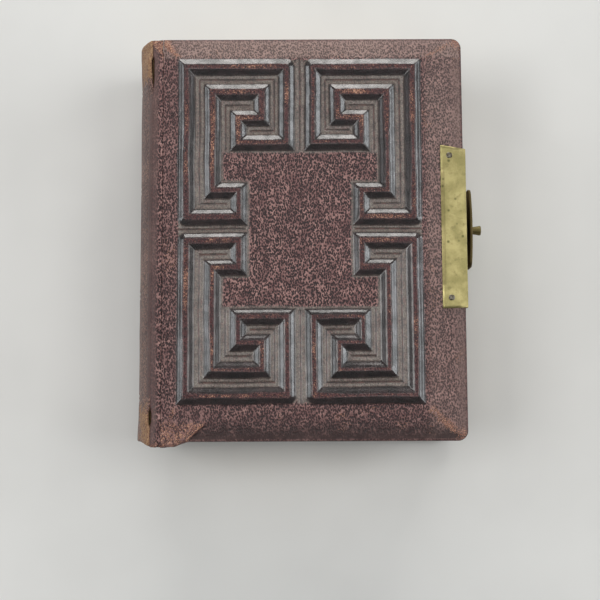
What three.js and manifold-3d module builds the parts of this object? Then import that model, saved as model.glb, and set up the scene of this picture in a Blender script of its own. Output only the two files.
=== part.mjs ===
// A small leather-bound bible with embossed boards, a rounded spine and a brass clasp, lying on its
// back cover. Millimetres. X runs from the spine to the fore-edge, Y from the tail to the head of
// the book, and Z up from the surface it lies on.
import * as THREE from 'three';
import { mergeVertices } from 'three/addons/utils/BufferGeometryUtils.js';
import Module from 'manifold-3d';

const wasm = await Module();
wasm.setup();

// ---- driving dimensions ----
const HEIGHT = 120; // covers, tail to head
const THICKNESS = 38; // closed book, over the raised borders
const SPINE_X = -51.7; // outermost line of the rounded spine
const FORE_EDGE_X = 45.8; // fore-edge of both covers
const MID_Z = THICKNESS / 2;

// binding
const RELIEF = 0.9; // height of the embossed borders
const LEATHER = 0.6; // skin over the boards
const BOARD = 2.4; // millboard
const TURN_IN = 0.3; // leather turned in over the board's inner face
const TURN_IN_WIDTH = 8;
const PASTEDOWN = 0.2;
const COVER_X0 = -43.4; // hinge edge of both covers
const EDGE_ROUND = 0.8; // rounding of the covers' edges
const CORNER_RADIUS = 3; // fore-edge corners

// rounded spine
const SPINE_RADIUS = 27.8;
const SPINE_LEATHER = 0.9;
const SPINE_LINING = 0.4;
const SPINE_GAP = 0.05; // between the curved layers
const SPINE_REACH = 17; // half height of the spine leather
const SPINE_HEIGHT = 118.6;
const SPLIT = 0.15; // half the gap where the spine divides at the middle

// text block
const SQUARE = 3; // how far the covers stand past the leaves
const LEAF = 0.2;
const LEAF_GAP = 0.08;
const BLOCK_Z0 = 5.1;
const MIDDLE_LEAVES = 4;
const SECTIONS_PER_HALF = 6;
const CORD_ROWS = [-36, 0, 36];
const CORD_RADIUS = 0.55;
const KERF_DEPTH = 1.5;
const KERF_WIDTH = 1.8;
const BAND_RADIUS = 0.8; // headband and tailband

// embossed panel: the centre line of one corner's key-pattern ridge, from the panel's outer corner
const PANEL_CENTRE = [-2.7, 2.05];
const PANEL_HALF = [36, 51.3];
const RIDGE_TOP = 0.65; // half widths
const RIDGE_FOOT = 2.4;
const RIDGE_LOOP = [
  [2.5, 2.5], [2.5, 47.8], [17.9, 47.8], [17.9, 39.9], [10.2, 39.9], [10.2, 10],
  [24.8, 10], [24.8, 17.9], [17.8, 17.9], [17.8, 25.4], [32.1, 25.4], [32.1, 2.5],
];

// clasp
const CLASP_Y = 2.8;
const BRASS = 0.6; // thickness of the plates on the covers
const PLATE_X0 = 38.9;
const PLATE_HALF = 24.35;
const PLATE_SLANT = 1.2; // how much shorter the plates are at the fore-edge
const NAIL_X = 41.3;
const NAIL_OFFSET = 21.2;
const NAIL_SHANK = 0.42;
const NAIL_HOLE = 0.47;
const NAIL_DEPTH = 2.7;
const TAB_HALF = 8.5; // keeper's tab, which the catch goes through
const TAB_Z0 = 27.5;
const SLOT = { half: 3.8, z0: 28.7, z1: 30.9 };
const HINGE = { x: 46.9, z: 5.6, barrel: 1.1, bore: 0.6, pin: 0.5, knuckle: 4.4, pitch: 4.65 };
const HASP = { x0: 46.95, bow: 0.8, sheet: 0.8, half: 12, z0: 6.95, z1: 33.3 };
const KNOB_Z = 28;
const KNOB_TIP_X = 51.7;
const RIVET_Z = 11.6;
const RIVET_SHANK = 0.5;
const SPRING_HALF = 3;

// derived
const BOTTOM = { skin: RELIEF, board: RELIEF + LEATHER, inner: RELIEF + LEATHER + BOARD };
const PASTEDOWN_Z = BOTTOM.inner + TURN_IN;
const BOARD_X0 = COVER_X0 + 0.4;
const BOARD_X1 = FORE_EDGE_X - LEATHER;
const BOARD_HALF = HEIGHT / 2 - LEATHER;
const BLOCK_HALF = HEIGHT / 2 - SQUARE;
const FLYLEAF_Z = BLOCK_Z0 - 2 * LEAF;
const MIDDLE_HALF = (MIDDLE_LEAVES * (LEAF + LEAF_GAP) + LEAF_GAP) / 2;
const BLOCK_Z1 = MID_Z - MIDDLE_HALF;
const LINING_RADIUS = SPINE_RADIUS - SPINE_LEATHER - SPINE_GAP;
const FOLD_RADIUS = LINING_RADIUS - SPINE_LINING - SPINE_GAP;
const SPINE_CENTRE_X = SPINE_X + SPINE_RADIUS;
const LEAF_WIDTH = FORE_EDGE_X - SQUARE - foldX(BLOCK_Z0);

// ---- materials ----
const material = (color, roughness, metalness = 0) =>
  new THREE.MeshStandardMaterial({ color, roughness, metalness });
const coverLeather = material(0x4b2d2c, 0.5);
const spineLeather = material(0x5a3830, 0.55);
const millboard = material(0x8a7556, 0.9);
const paper = material(0xcdbf9c, 0.9);
const endpaper = material(0xd6cbae, 0.85);
const lining = material(0xa08a66, 0.9);
const silk = material(0x7c3b33, 0.7);
const cordage = material(0xb8a67e, 0.9);
const brass = material(0x8f7440, 0.4, 1);
const steel = material(0x4e4a45, 0.5, 1);

// ---- geometry helpers ----
function outline(points) {
  return new THREE.Shape(points.map(([x, y]) => new THREE.Vector2(x, y)));
}

// a flat shape in the XY plane, from z0 to z1
function plate(shape, z0, z1) {
  return new THREE.ExtrudeGeometry(shape, { depth: z1 - z0, bevelEnabled: false, curveSegments: 6 })
    .translate(0, 0, z0);
}

// a shape in the XZ plane, from y0 to y1
function alongY(shape, y0, y1) {
  return plate(shape, 0, y1 - y0).rotateX(Math.PI / 2).translate(0, y1, 0);
}

// a shape in the YZ plane, from x0 to x1
function alongX(shape, x0, x1) {
  return plate(shape, 0, x1 - x0).rotateY(Math.PI / 2).rotateX(Math.PI / 2).translate(x0, 0, 0);
}

function block([x0, x1], [y0, y1], [z0, z1]) {
  return new THREE.BoxGeometry(x1 - x0, y1 - y0, z1 - z0)
    .translate((x0 + x1) / 2, (y0 + y1) / 2, (z0 + z1) / 2);
}

function rodAlongY(radius, y0, y1, x, z, sides = 16) {
  return new THREE.CylinderGeometry(radius, radius, y1 - y0, sides).translate(x, (y0 + y1) / 2, z);
}

function rodAlongZ(radius, z0, z1, x, y, sides = 12) {
  return new THREE.CylinderGeometry(radius, radius, z1 - z0, sides).rotateX(Math.PI / 2)
    .translate(x, y, (z0 + z1) / 2);
}

function rodAlongX(radius, x0, x1, y, z, sides = 12) {
  return new THREE.CylinderGeometry(radius, radius, x1 - x0, sides).rotateZ(Math.PI / 2)
    .translate((x0 + x1) / 2, y, z);
}

// a turned piece about an axis along +X through the origin; each point is [radius, x]
function turned(profile, sides = 16) {
  const points = profile.map(([r, x]) => new THREE.Vector2(r, x));
  return new THREE.LatheGeometry(points, sides).rotateZ(-Math.PI / 2);
}

function solid(geometry) {
  const bare = geometry.clone();
  bare.deleteAttribute('normal');
  bare.deleteAttribute('uv');
  const merged = mergeVertices(bare, 1e-4);
  return new wasm.Manifold(new wasm.Mesh({
    numProp: 3,
    vertProperties: merged.attributes.position.array,
    triVerts: merged.index.array,
  }));
}

function shaped(manifold) {
  const mesh = manifold.getMesh();
  const geometry = new THREE.BufferGeometry();
  geometry.setAttribute('position', new THREE.BufferAttribute(mesh.vertProperties, 3));
  geometry.setIndex(new THREE.BufferAttribute(mesh.triVerts, 1));
  geometry.computeVertexNormals();
  return geometry;
}

function join(first, ...others) {
  return shaped(others.reduce((sum, piece) => sum.add(solid(piece)), solid(first)));
}

function cut(body, ...tools) {
  return shaped(tools.reduce((left, tool) => left.subtract(solid(tool)), solid(body)));
}

function common(first, second) {
  return shaped(solid(first).intersect(solid(second)));
}

// the same piece on the other cover: reflected in the book's middle plane
function reflected(geometry) {
  const copy = mergeVertices(geometry.clone()).scale(1, 1, -1).translate(0, 0, THICKNESS);
  const index = copy.index.array;
  for (let i = 0; i < index.length; i += 3) [index[i], index[i + 1]] = [index[i + 1], index[i]];
  copy.computeVertexNormals();
  return copy;
}

// ---- covers, drawn as the lower (back) cover ----
function coverShape(x0, x1, half, radius) {
  const shape = new THREE.Shape();
  shape.moveTo(x0, -half);
  shape.lineTo(x1 - radius, -half);
  shape.absarc(x1 - radius, radius - half, radius, -Math.PI / 2, 0);
  shape.lineTo(x1, half - radius);
  shape.absarc(x1 - radius, half - radius, radius, 0, Math.PI / 2);
  shape.lineTo(x0, half);
  return shape;
}

// moves each corner of a closed right-angled path sideways by the distance, keeping it mitred
function offsetLoop(loop, distance) {
  return loop.map(([x, y], i) => {
    const before = loop[(i + loop.length - 1) % loop.length];
    const after = loop[(i + 1) % loop.length];
    const arriving = [Math.sign(x - before[0]), Math.sign(y - before[1])];
    const leaving = [Math.sign(after[0] - x), Math.sign(after[1] - y)];
    return [
      x + distance * (arriving[1] + leaving[1]),
      y - distance * (arriving[0] + leaving[0]),
    ];
  });
}

// one corner's key-pattern ridge: a closed loop with sloping sides and a narrow flat top
function ridge(signX, signY) {
  const place = ([x, y]) => [
    PANEL_CENTRE[0] + signX * (x - PANEL_HALF[0]),
    PANEL_CENTRE[1] + signY * (y - PANEL_HALF[1]),
  ];
  const buried = RELIEF + 0.2;
  const foot = RIDGE_FOOT + (0.2 * (RIDGE_FOOT - RIDGE_TOP)) / RELIEF;
  const rings = [[foot, buried], [RIDGE_TOP, 0], [-RIDGE_TOP, 0], [-foot, buried]];
  const positions = rings.flatMap(([offset, z]) =>
    offsetLoop(RIDGE_LOOP, offset).flatMap((point) => [...place(point), z]));
  const count = RIDGE_LOOP.length;
  const indices = [];
  for (let r = 0; r < rings.length; r++) {
    for (let i = 0; i < count; i++) {
      const next = (i + 1) % count;
      const [a, b] = [r * count + i, r * count + next];
      const [c, d] = [((r + 1) % rings.length) * count + i, ((r + 1) % rings.length) * count + next];
      indices.push(...(signX * signY > 0 ? [a, c, b, b, c, d] : [a, b, c, b, d, c]));
    }
  }
  const geometry = new THREE.BufferGeometry();
  geometry.setAttribute('position', new THREE.Float32BufferAttribute(positions, 3));
  geometry.setIndex(indices);
  return geometry;
}

function nailHoles(z0, z1) {
  return [-1, 1].map((side) =>
    rodAlongZ(NAIL_HOLE, z0, z1, NAIL_X, CLASP_Y + side * NAIL_OFFSET));
}

function boardGeometry() {
  const shape = coverShape(BOARD_X0, BOARD_X1, BOARD_HALF, CORNER_RADIUS - LEATHER);
  const sheet = plate(shape, BOTTOM.board, BOTTOM.inner);
  return cut(sheet, ...nailHoles(BOTTOM.board - 1, BOTTOM.skin + NAIL_DEPTH));
}

function coverLeatherGeometry() {
  const skin = new THREE.ExtrudeGeometry(
    coverShape(COVER_X0, FORE_EDGE_X, HEIGHT / 2, CORNER_RADIUS),
    {
      depth: PASTEDOWN_Z - BOTTOM.skin - 2 * EDGE_ROUND,
      bevelSize: EDGE_ROUND,
      bevelThickness: EDGE_ROUND,
      bevelOffset: -EDGE_ROUND,
      bevelSegments: 2,
      curveSegments: 5,
    },
  ).translate(0, 0, BOTTOM.skin + EDGE_ROUND);
  const ridges = [[1, 1], [1, -1], [-1, 1], [-1, -1]].map(([x, y]) => ridge(x, y));
  const pocketShape = coverShape(BOARD_X0, BOARD_X1, BOARD_HALF, CORNER_RADIUS - LEATHER);
  const pocket = plate(pocketShape, BOTTOM.board, BOTTOM.inner);
  const windowHalf = BOARD_HALF - TURN_IN_WIDTH;
  const opening = block(
    [COVER_X0 - 1, BOARD_X1 - TURN_IN_WIDTH],
    [-windowHalf, windowHalf],
    [BOTTOM.inner - 0.1, PASTEDOWN_Z + 1],
  );
  return cut(join(skin, ...ridges), pocket, opening, ...nailHoles(-1, BOTTOM.inner));
}

function pastedownGeometry() {
  const half = HEIGHT / 2 - SQUARE;
  return block([COVER_X0 + 1.2, FORE_EDGE_X - SQUARE], [-half, half],
    [PASTEDOWN_Z, PASTEDOWN_Z + PASTEDOWN]);
}

// the leather that crosses the groove between the spine and a cover
function jointLeatherGeometry() {
  const half = SPINE_HEIGHT / 2;
  return alongY(outline([
    [-45.85, 1.9], [-45, 2.1], [-44, 2.1], [-43.45, 1.6],
    [-43.45, 2.6], [-44, 2.9], [-44.95, 2.9], [-45.1, 2.56],
  ]), -half, half);
}

// ---- spine and text block, drawn as the lower half ----
function foldX(z) {
  return SPINE_CENTRE_X - Math.sqrt(FOLD_RADIUS ** 2 - (z - MID_Z) ** 2);
}

function arcPoint(radius, drop) {
  return [SPINE_CENTRE_X - Math.sqrt(radius ** 2 - drop ** 2), MID_Z - drop];
}

// a curved band of the spine, from just under the middle down to the given drop
function spineBand(outer, inner, reach, steps = 8) {
  const points = [];
  const edge = (radius, from, to) => {
    for (let i = 0; i <= steps; i++) points.push(arcPoint(radius, from + ((to - from) * i) / steps));
  };
  edge(outer, SPLIT, reach);
  edge(inner, (reach * inner) / outer, SPLIT);
  return outline(points);
}

function spineLeatherGeometry() {
  const shape = spineBand(SPINE_RADIUS, SPINE_RADIUS - SPINE_LEATHER, SPINE_REACH);
  return alongY(shape, -SPINE_HEIGHT / 2, SPINE_HEIGHT / 2);
}

function spineLiningGeometry() {
  const shape = spineBand(LINING_RADIUS, LINING_RADIUS - SPINE_LINING, MID_Z - BLOCK_Z0);
  return alongY(shape, -BLOCK_HALF, BLOCK_HALF);
}

// one folded and sewn section of leaves, with saw cuts in its fold for the sewing cords
function sectionGeometry(index) {
  const pitch = (BLOCK_Z1 - BLOCK_Z0) / SECTIONS_PER_HALF;
  const [z0, z1] = [BLOCK_Z0 + index * pitch, BLOCK_Z0 + (index + 1) * pitch];
  const round = 0.45;
  const middle = (z0 + z1) / 2;
  const shape = outline([
    [foldX(z0) + round, z0], [foldX(z0) + LEAF_WIDTH, z0], [foldX(middle) + LEAF_WIDTH, middle],
    [foldX(z1) + LEAF_WIDTH, z1], [foldX(z1) + round, z1], [foldX(z1 - round), z1 - round],
    [foldX(z0 + round), z0 + round],
  ]);
  const kerf = spineBand(FOLD_RADIUS + 1, FOLD_RADIUS - KERF_DEPTH, MID_Z - BLOCK_Z0 + 2);
  const kerfs = CORD_ROWS.map((y) => alongY(kerf, y - KERF_WIDTH / 2, y + KERF_WIDTH / 2));
  return cut(alongY(shape, -BLOCK_HALF, BLOCK_HALF), ...kerfs);
}

// a round cord that follows the folds, from near the outermost section to the middle
function curvedCord(radius, depth, reach) {
  const path = new THREE.CatmullRomCurve3(
    [1, 0.8, 0.6, 0.4, 0.2, 0].map((share) => {
      const [x, z] = arcPoint(FOLD_RADIUS - depth, MIDDLE_HALF + share * reach);
      return new THREE.Vector3(x, 0, z);
    }),
  );
  const circle = new THREE.Shape().absarc(0, 0, radius, 0, Math.PI * 2);
  return new THREE.ExtrudeGeometry(circle, { steps: 8, curveSegments: 4, extrudePath: path });
}

function leafGeometry(z0) {
  const x0 = foldX(z0) + 0.5;
  return block([x0, foldX(z0) + LEAF_WIDTH], [-BLOCK_HALF, BLOCK_HALF], [z0, z0 + LEAF]);
}

function flyleafGeometry() {
  const x0 = COVER_X0;
  return block([x0, FORE_EDGE_X - SQUARE], [-BLOCK_HALF, BLOCK_HALF],
    [FLYLEAF_Z, FLYLEAF_Z + LEAF]);
}

// ---- clasp ----
// an angle plate on the upper cover: a leaf on the face, folded down over the fore-edge
function anglePlate(drop) {
  const top = THICKNESS - BOTTOM.skin;
  const outer = FORE_EDGE_X + BRASS;
  const profile = outline([
    [PLATE_X0, top], [FORE_EDGE_X, top], [FORE_EDGE_X, drop], [outer, drop],
    [outer, top + BRASS / 2], [outer - BRASS / 2, top + BRASS], [PLATE_X0, top + BRASS],
  ]);
  const ends = outline([
    [PLATE_X0 - 1, CLASP_Y - PLATE_HALF], [outer + 0.1, CLASP_Y - PLATE_HALF + PLATE_SLANT],
    [outer + 0.1, CLASP_Y + PLATE_HALF - PLATE_SLANT], [PLATE_X0 - 1, CLASP_Y + PLATE_HALF],
  ]);
  const sheet = alongY(profile, CLASP_Y - PLATE_HALF - 1, CLASP_Y + PLATE_HALF + 1);
  return cut(common(sheet, plate(ends, 0, THICKNESS)), ...nailHoles(top - 1, top + 2));
}

function keeperGeometry() {
  const bend = THICKNESS - PASTEDOWN_Z;
  const tab = block([FORE_EDGE_X, FORE_EDGE_X + BRASS], [CLASP_Y - TAB_HALF, CLASP_Y + TAB_HALF],
    [TAB_Z0, bend + 0.5]);
  const slot = block([FORE_EDGE_X - 1, FORE_EDGE_X + 2], [CLASP_Y - SLOT.half, CLASP_Y + SLOT.half],
    [SLOT.z0, SLOT.z1]);
  return cut(join(anglePlate(bend), tab), slot);
}

// the knuckles at the given places along the clasp's hinge, each joined to a lug
function knuckles(places, lugX, lugZ) {
  return places.flatMap((place) => {
    const y0 = CLASP_Y + place * HINGE.pitch - HINGE.knuckle / 2;
    const span = [y0, y0 + HINGE.knuckle];
    return [rodAlongY(HINGE.barrel, ...span, HINGE.x, HINGE.z), block(lugX, span, lugZ)];
  });
}

function hingeBore() {
  return rodAlongY(HINGE.bore, CLASP_Y - 20, CLASP_Y + 20, HINGE.x, HINGE.z);
}

function hingePlateGeometry() {
  const sheet = reflected(anglePlate(THICKNESS - PASTEDOWN_Z));
  const lugs = knuckles([-2, 0, 2], [FORE_EDGE_X, FORE_EDGE_X + BRASS],
    [PASTEDOWN_Z - 0.5, HINGE.z]);
  return cut(join(sheet, ...lugs), hingeBore());
}

function hingePinGeometry() {
  const half = 2 * HINGE.pitch + HINGE.knuckle / 2;
  const head = 0.3;
  return join(
    rodAlongY(HINGE.pin, CLASP_Y - half - head, CLASP_Y + half + head, HINGE.x, HINGE.z, 12),
    rodAlongY(0.8, CLASP_Y - half - head, CLASP_Y - half, HINGE.x, HINGE.z, 12),
    rodAlongY(0.8, CLASP_Y + half, CLASP_Y + half + head, HINGE.x, HINGE.z, 12),
  );
}

// the hasp's sheet, bowed outwards between its two sides
function haspSheet() {
  const points = [];
  const steps = 10;
  for (const [offset, direction] of [[0, 1], [HASP.sheet, -1]]) {
    for (let i = 0; i <= steps; i++) {
      const y = direction * HASP.half * ((2 * i) / steps - 1);
      points.push([HASP.x0 + HASP.bow * (1 - (y / HASP.half) ** 2) + offset, CLASP_Y + y]);
    }
  }
  return plate(outline(points), HASP.z0, HASP.z1);
}

// the hasp's outline seen from the fore-edge, with rounded upper corners and waisted sides
function haspOutline() {
  const corner = 3;
  const [half, foot, waist] = [HASP.half, HASP.half - 0.6, HASP.half - 2];
  const shape = new THREE.Shape();
  shape.moveTo(CLASP_Y - foot, HASP.z0);
  shape.lineTo(CLASP_Y + foot, HASP.z0);
  shape.quadraticCurveTo(CLASP_Y + waist, HASP.z0 + 11, CLASP_Y + half, HASP.z1 - 5);
  shape.lineTo(CLASP_Y + half, HASP.z1 - corner);
  shape.absarc(CLASP_Y + half - corner, HASP.z1 - corner, corner, 0, Math.PI / 2);
  shape.lineTo(CLASP_Y - half + corner, HASP.z1);
  shape.absarc(CLASP_Y - half + corner, HASP.z1 - corner, corner, Math.PI / 2, Math.PI);
  shape.lineTo(CLASP_Y - half, HASP.z1 - 5);
  shape.quadraticCurveTo(CLASP_Y - waist, HASP.z0 + 11, CLASP_Y - foot, HASP.z0);
  return shape;
}

function haspGeometry() {
  const sheet = common(haspSheet(), alongX(haspOutline(), HASP.x0 - 1, HASP.x0 + 4));
  const lugs = knuckles([-1, 1], [HINGE.x + 0.3, HINGE.x + HINGE.barrel], [HINGE.z, HASP.z0 + 0.3]);
  return cut(
    join(sheet, ...lugs),
    hingeBore(),
    rodAlongX(RIVET_SHANK + 0.1, HASP.x0, HASP.x0 + 4, CLASP_Y, KNOB_Z),
    rodAlongX(RIVET_SHANK + 0.1, HASP.x0, HASP.x0 + 4, CLASP_Y, RIVET_Z),
  );
}

// the spring leaf inside the hasp; its nose goes through the keeper's slot
function catchSpringGeometry() {
  const inner = HASP.x0 + HASP.bow * (1 - (SPRING_HALF / HASP.half) ** 2) - 0.02;
  const sheet = 0.3;
  const rise = 0.65;
  const shape = outline([
    [inner - sheet, 9.5], [inner, 9.5], [inner, 14], [inner - rise, 19], [inner - rise, 31.4],
    [inner - rise - sheet, 31.4], [inner - rise - sheet, 30.5], [45.3, 30.1], [45.3, 29.7],
    [inner - rise - sheet, 29.2], [inner - rise - sheet, 18.9], [inner - sheet, 13.9],
  ]);
  const leaf = alongY(shape, CLASP_Y - SPRING_HALF, CLASP_Y + SPRING_HALF);
  return cut(leaf, rodAlongX(RIVET_SHANK + 0.1, inner - 2, inner + 1, CLASP_Y, RIVET_Z));
}

function springRivetGeometry() {
  const [inside, outside] = [HASP.bow - 0.4, HASP.bow + HASP.sheet];
  return turned([
    [0, inside - 0.25], [0.7, inside - 0.25], [0.9, inside], [RIVET_SHANK, inside],
    [RIVET_SHANK, outside], [0.9, outside], [0.6, outside + 0.25], [0, outside + 0.3],
  ], 12);
}

function knobGeometry() {
  const inside = HASP.bow - 0.03;
  const face = HASP.bow + HASP.sheet;
  const tip = KNOB_TIP_X - HASP.x0;
  return turned([
    [0, inside - 0.25], [0.9, inside - 0.25], [1.1, inside], [RIVET_SHANK, inside],
    [RIVET_SHANK, face + 0.3], [0.9, face + 0.3], [0.75, face + 0.8], [1.25, face + 1.7],
    [1.45, tip - 0.6], [1.4, tip - 0.25], [1.05, tip], [0, tip],
  ], 18);
}

function knobWasherGeometry() {
  const face = HASP.bow + HASP.sheet;
  return turned([
    [RIVET_SHANK + 0.08, face], [1.6, face], [1.5, face + 0.25], [RIVET_SHANK + 0.08, face + 0.3],
    [RIVET_SHANK + 0.08, face],
  ], 16);
}

// a small nail with a low head, pointing down from its origin under the head
function nailGeometry() {
  const length = NAIL_DEPTH + BRASS - 0.1;
  return new THREE.LatheGeometry([
    [0, -length], [NAIL_SHANK * 0.4, 0.5 - length], [NAIL_SHANK, 1 - length], [NAIL_SHANK, 0],
    [0.85, 0], [0.7, 0.15], [0, 0.22],
  ].map(([r, z]) => new THREE.Vector2(r, z)), 12).rotateX(Math.PI / 2);
}

// ---- assembly: one group for each rigid body ----
const bible = new THREE.Group();

function body() {
  const group = new THREE.Group();
  bible.add(group);
  return group;
}

function add(group, name, geometry, finish, position = [0, 0, 0]) {
  const mesh = new THREE.Mesh(geometry, finish);
  mesh.name = name;
  mesh.position.set(...position);
  group.add(mesh);
  return mesh;
}

function addCover(group, side, turn) {
  add(group, `${side}_board`, turn(boardGeometry()), millboard);
  add(group, `${side}_leather`, turn(coverLeatherGeometry()), coverLeather);
  add(group, `${side}_pastedown`, turn(pastedownGeometry()), endpaper);
}

function addBlockHalf(group, half, firstSection, turn) {
  for (let i = 0; i < SECTIONS_PER_HALF; i++) {
    const drawn = turn === reflected ? SECTIONS_PER_HALF - 1 - i : i;
    const number = String(firstSection + i).padStart(2, '0');
    add(group, `section_${number}`, turn(sectionGeometry(drawn)), paper);
  }
  add(group, `spine_leather_${half}`, turn(spineLeatherGeometry()), spineLeather);
  add(group, `spine_lining_${half}`, turn(spineLiningGeometry()), lining);
  const band = turn(curvedCord(BAND_RADIUS, BAND_RADIUS + 0.1, 12.4));
  add(group, `headband_${half}`, band, silk, [0, BLOCK_HALF + BAND_RADIUS + 0.02, 0]);
  add(group, `tailband_${half}`, band, silk, [0, -BLOCK_HALF - BAND_RADIUS - 0.02, 0]);
  CORD_ROWS.forEach((y, i) => {
    const cord = turn(curvedCord(CORD_RADIUS, CORD_RADIUS + 0.3, 12.6));
    add(group, `sewing_cord_${half}_${i + 1}`, cord, cordage, [0, y, 0]);
  });
}

const same = (geometry) => geometry;
const nail = nailGeometry();

const backCover = body();
addCover(backCover, 'back', same);
add(backCover, 'back_joint_leather', jointLeatherGeometry(), spineLeather);
add(backCover, 'hinge_plate', hingePlateGeometry(), brass);
add(backCover, 'hinge_pin', hingePinGeometry(), steel);
[-1, 1].forEach((side, i) => {
  const mesh = add(backCover, `hinge_plate_nail_${i + 1}`, nail, steel,
    [NAIL_X, CLASP_Y + side * NAIL_OFFSET, BOTTOM.skin - BRASS]);
  mesh.rotation.x = Math.PI;
});

add(body(), 'back_flyleaf', flyleafGeometry(), endpaper);

addBlockHalf(body(), 'lower', 1, same);

for (let i = 0; i < MIDDLE_LEAVES; i++) {
  const z0 = BLOCK_Z1 + LEAF_GAP + i * (LEAF + LEAF_GAP);
  add(body(), `middle_leaf_${i + 1}`, leafGeometry(z0), paper);
}

addBlockHalf(body(), 'upper', SECTIONS_PER_HALF + 1, reflected);

add(body(), 'front_flyleaf', reflected(flyleafGeometry()), endpaper);

const frontCover = body();
addCover(frontCover, 'front', reflected);
add(frontCover, 'front_joint_leather', reflected(jointLeatherGeometry()), spineLeather);
add(frontCover, 'keeper_plate', keeperGeometry(), brass);
[-1, 1].forEach((side, i) => {
  add(frontCover, `keeper_nail_${i + 1}`, nail, steel,
    [NAIL_X, CLASP_Y + side * NAIL_OFFSET, THICKNESS - BOTTOM.skin + BRASS]);
});

const hasp = body();
add(hasp, 'hasp_plate', haspGeometry(), brass);
add(hasp, 'catch_spring', catchSpringGeometry(), steel);
add(hasp, 'spring_rivet', springRivetGeometry(), brass, [HASP.x0, CLASP_Y, RIVET_Z]);
add(hasp, 'knob_washer', knobWasherGeometry(), brass, [HASP.x0, CLASP_Y, KNOB_Z]);
add(hasp, 'knob', knobGeometry(), brass, [HASP.x0, CLASP_Y, KNOB_Z]);

export default bible;
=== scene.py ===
"""The looks of a small leather-bound bible with a brass clasp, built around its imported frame.

Shapes are worked out in millimetres, +Z up, and become metres when a mesh is made.
"""
import math

import bpy
import numpy as np
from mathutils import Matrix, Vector


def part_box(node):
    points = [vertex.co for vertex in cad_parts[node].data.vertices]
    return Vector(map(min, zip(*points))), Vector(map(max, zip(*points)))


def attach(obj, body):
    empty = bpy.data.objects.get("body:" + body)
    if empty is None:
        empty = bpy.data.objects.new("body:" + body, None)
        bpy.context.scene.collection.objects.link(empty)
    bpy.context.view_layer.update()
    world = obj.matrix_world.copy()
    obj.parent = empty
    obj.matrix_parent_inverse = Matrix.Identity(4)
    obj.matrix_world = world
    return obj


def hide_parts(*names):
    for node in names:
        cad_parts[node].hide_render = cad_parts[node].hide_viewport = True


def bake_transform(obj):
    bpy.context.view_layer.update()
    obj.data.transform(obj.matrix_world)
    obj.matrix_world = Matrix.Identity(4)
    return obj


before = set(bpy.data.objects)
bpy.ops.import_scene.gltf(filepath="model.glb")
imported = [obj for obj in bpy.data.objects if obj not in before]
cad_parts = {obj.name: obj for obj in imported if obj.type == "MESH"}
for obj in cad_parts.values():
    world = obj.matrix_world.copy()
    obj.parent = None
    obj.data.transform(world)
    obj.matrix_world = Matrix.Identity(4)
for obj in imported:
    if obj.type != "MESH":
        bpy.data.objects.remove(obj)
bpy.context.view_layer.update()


# ---- sizes, in millimetres ----
def box_mm(node):
    low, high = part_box(node)
    return np.array(low) * 1000, np.array(high) * 1000


COVER_LOW, COVER_HIGH = box_mm("front_leather")
HINGE_EDGE = COVER_LOW[0]
FORE_EDGE = COVER_HIGH[0]
HALF_HEIGHT = COVER_HIGH[1]
THICKNESS = COVER_HIGH[2]
MID_Z = THICKNESS / 2
INNER_DEPTH = THICKNESS - COVER_LOW[2]  # from the ridges' tops to the cover's inner face

# embossed face
RELIEF = 1.15
BEVEL = 1.1  # how far the margins slope down to the cover's edges
PANEL_CENTRE = np.array([-2.7, 2.05])
PANEL_HALF = np.array([36.0, 51.3])
RIDGE_TOP = 0.5  # half widths
RIDGE_FOOT = 2.6
FLOOR_BORDER = 3.2  # how far from a ridge the smooth border reaches into the grained field
# centre line of one corner's key-pattern ridge, from the panel's outer corner
RIDGE_LOOP = [
    (2.5, 2.5), (2.5, 47.8), (17.9, 47.8), (17.9, 39.9), (10.2, 39.9), (10.2, 10),
    (24.8, 10), (24.8, 17.9), (17.8, 17.9), (17.8, 25.4), (32.1, 25.4), (32.1, 2.5), (2.5, 2.5),
]
# the loop's corners that are rounded outside, with the way out from each
ROUND_CORNERS = [((32.1, 2.5), (1, -1)), ((2.5, 47.8), (-1, 1))]
# fine tooled lines along the floors between the ridges
FINE_LINES = [
    [(21.5, 21.65), (28.45, 21.65), (28.45, 6.25), (6.35, 6.25), (6.35, 43.85), (14.2, 43.85)],
    [(14, 27.3), (14, 13.95), (21.2, 13.95)],
    [(36, 0.2), (36, 27.2)],
    [(0.3, 51.3), (19.7, 51.3)],
]
RIDGE_FLANKS = (0.0, 0.3, 0.5, 0.7, 1.1, 1.6, 2.1, 2.45, 2.7)
LINE_FLANKS = (0.0, 0.13, 0.3)
GRAIN_STEP = 0.42  # largest gap between the lines of the cover's mesh

TINY = 1e-6  # less than any real distance, for comparing places
EDGE_ROUND = 0.85
HINGE_ROUND = 0.12
INNER_ROUND = 0.35
CORNER_RADIUS = 3.0
CORNER_REACH = 6.0  # how far from a corner the mesh is moved to round it
LEATHER = 0.6
TURN_IN = 0.3
TURN_IN_WIDTH = 8.0
BOARD_DEPTHS = (1.5, 3.9)

# spine
SPINE_RADIUS = 27.8
SPINE_CENTRE_X = box_mm("spine_leather_lower")[0][0] + SPINE_RADIUS
SPINE_FACE = SPINE_RADIUS - 0.12  # the leather's outer face, where nothing lifts it
SPINE_LEATHER = 0.9
SPINE_REACH = 16.05  # from the book's middle up or down to the leather's edge
SPINE_HALF = 59.3  # half its length, from head to tail
SPINE_LINES = (15.4, 16.8, 46.2, 47.6)  # blind lines across the spine, from its middle
FOLD_RADIUS = 26.4  # of the curve through the sections' folds

# text block
BLOCK_Z0 = box_mm("section_01")[0][2]
BLOCK_HALF = box_mm("section_01")[1][1]
SECTIONS = 6
LEAVES_PER_SECTION = 8

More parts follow.
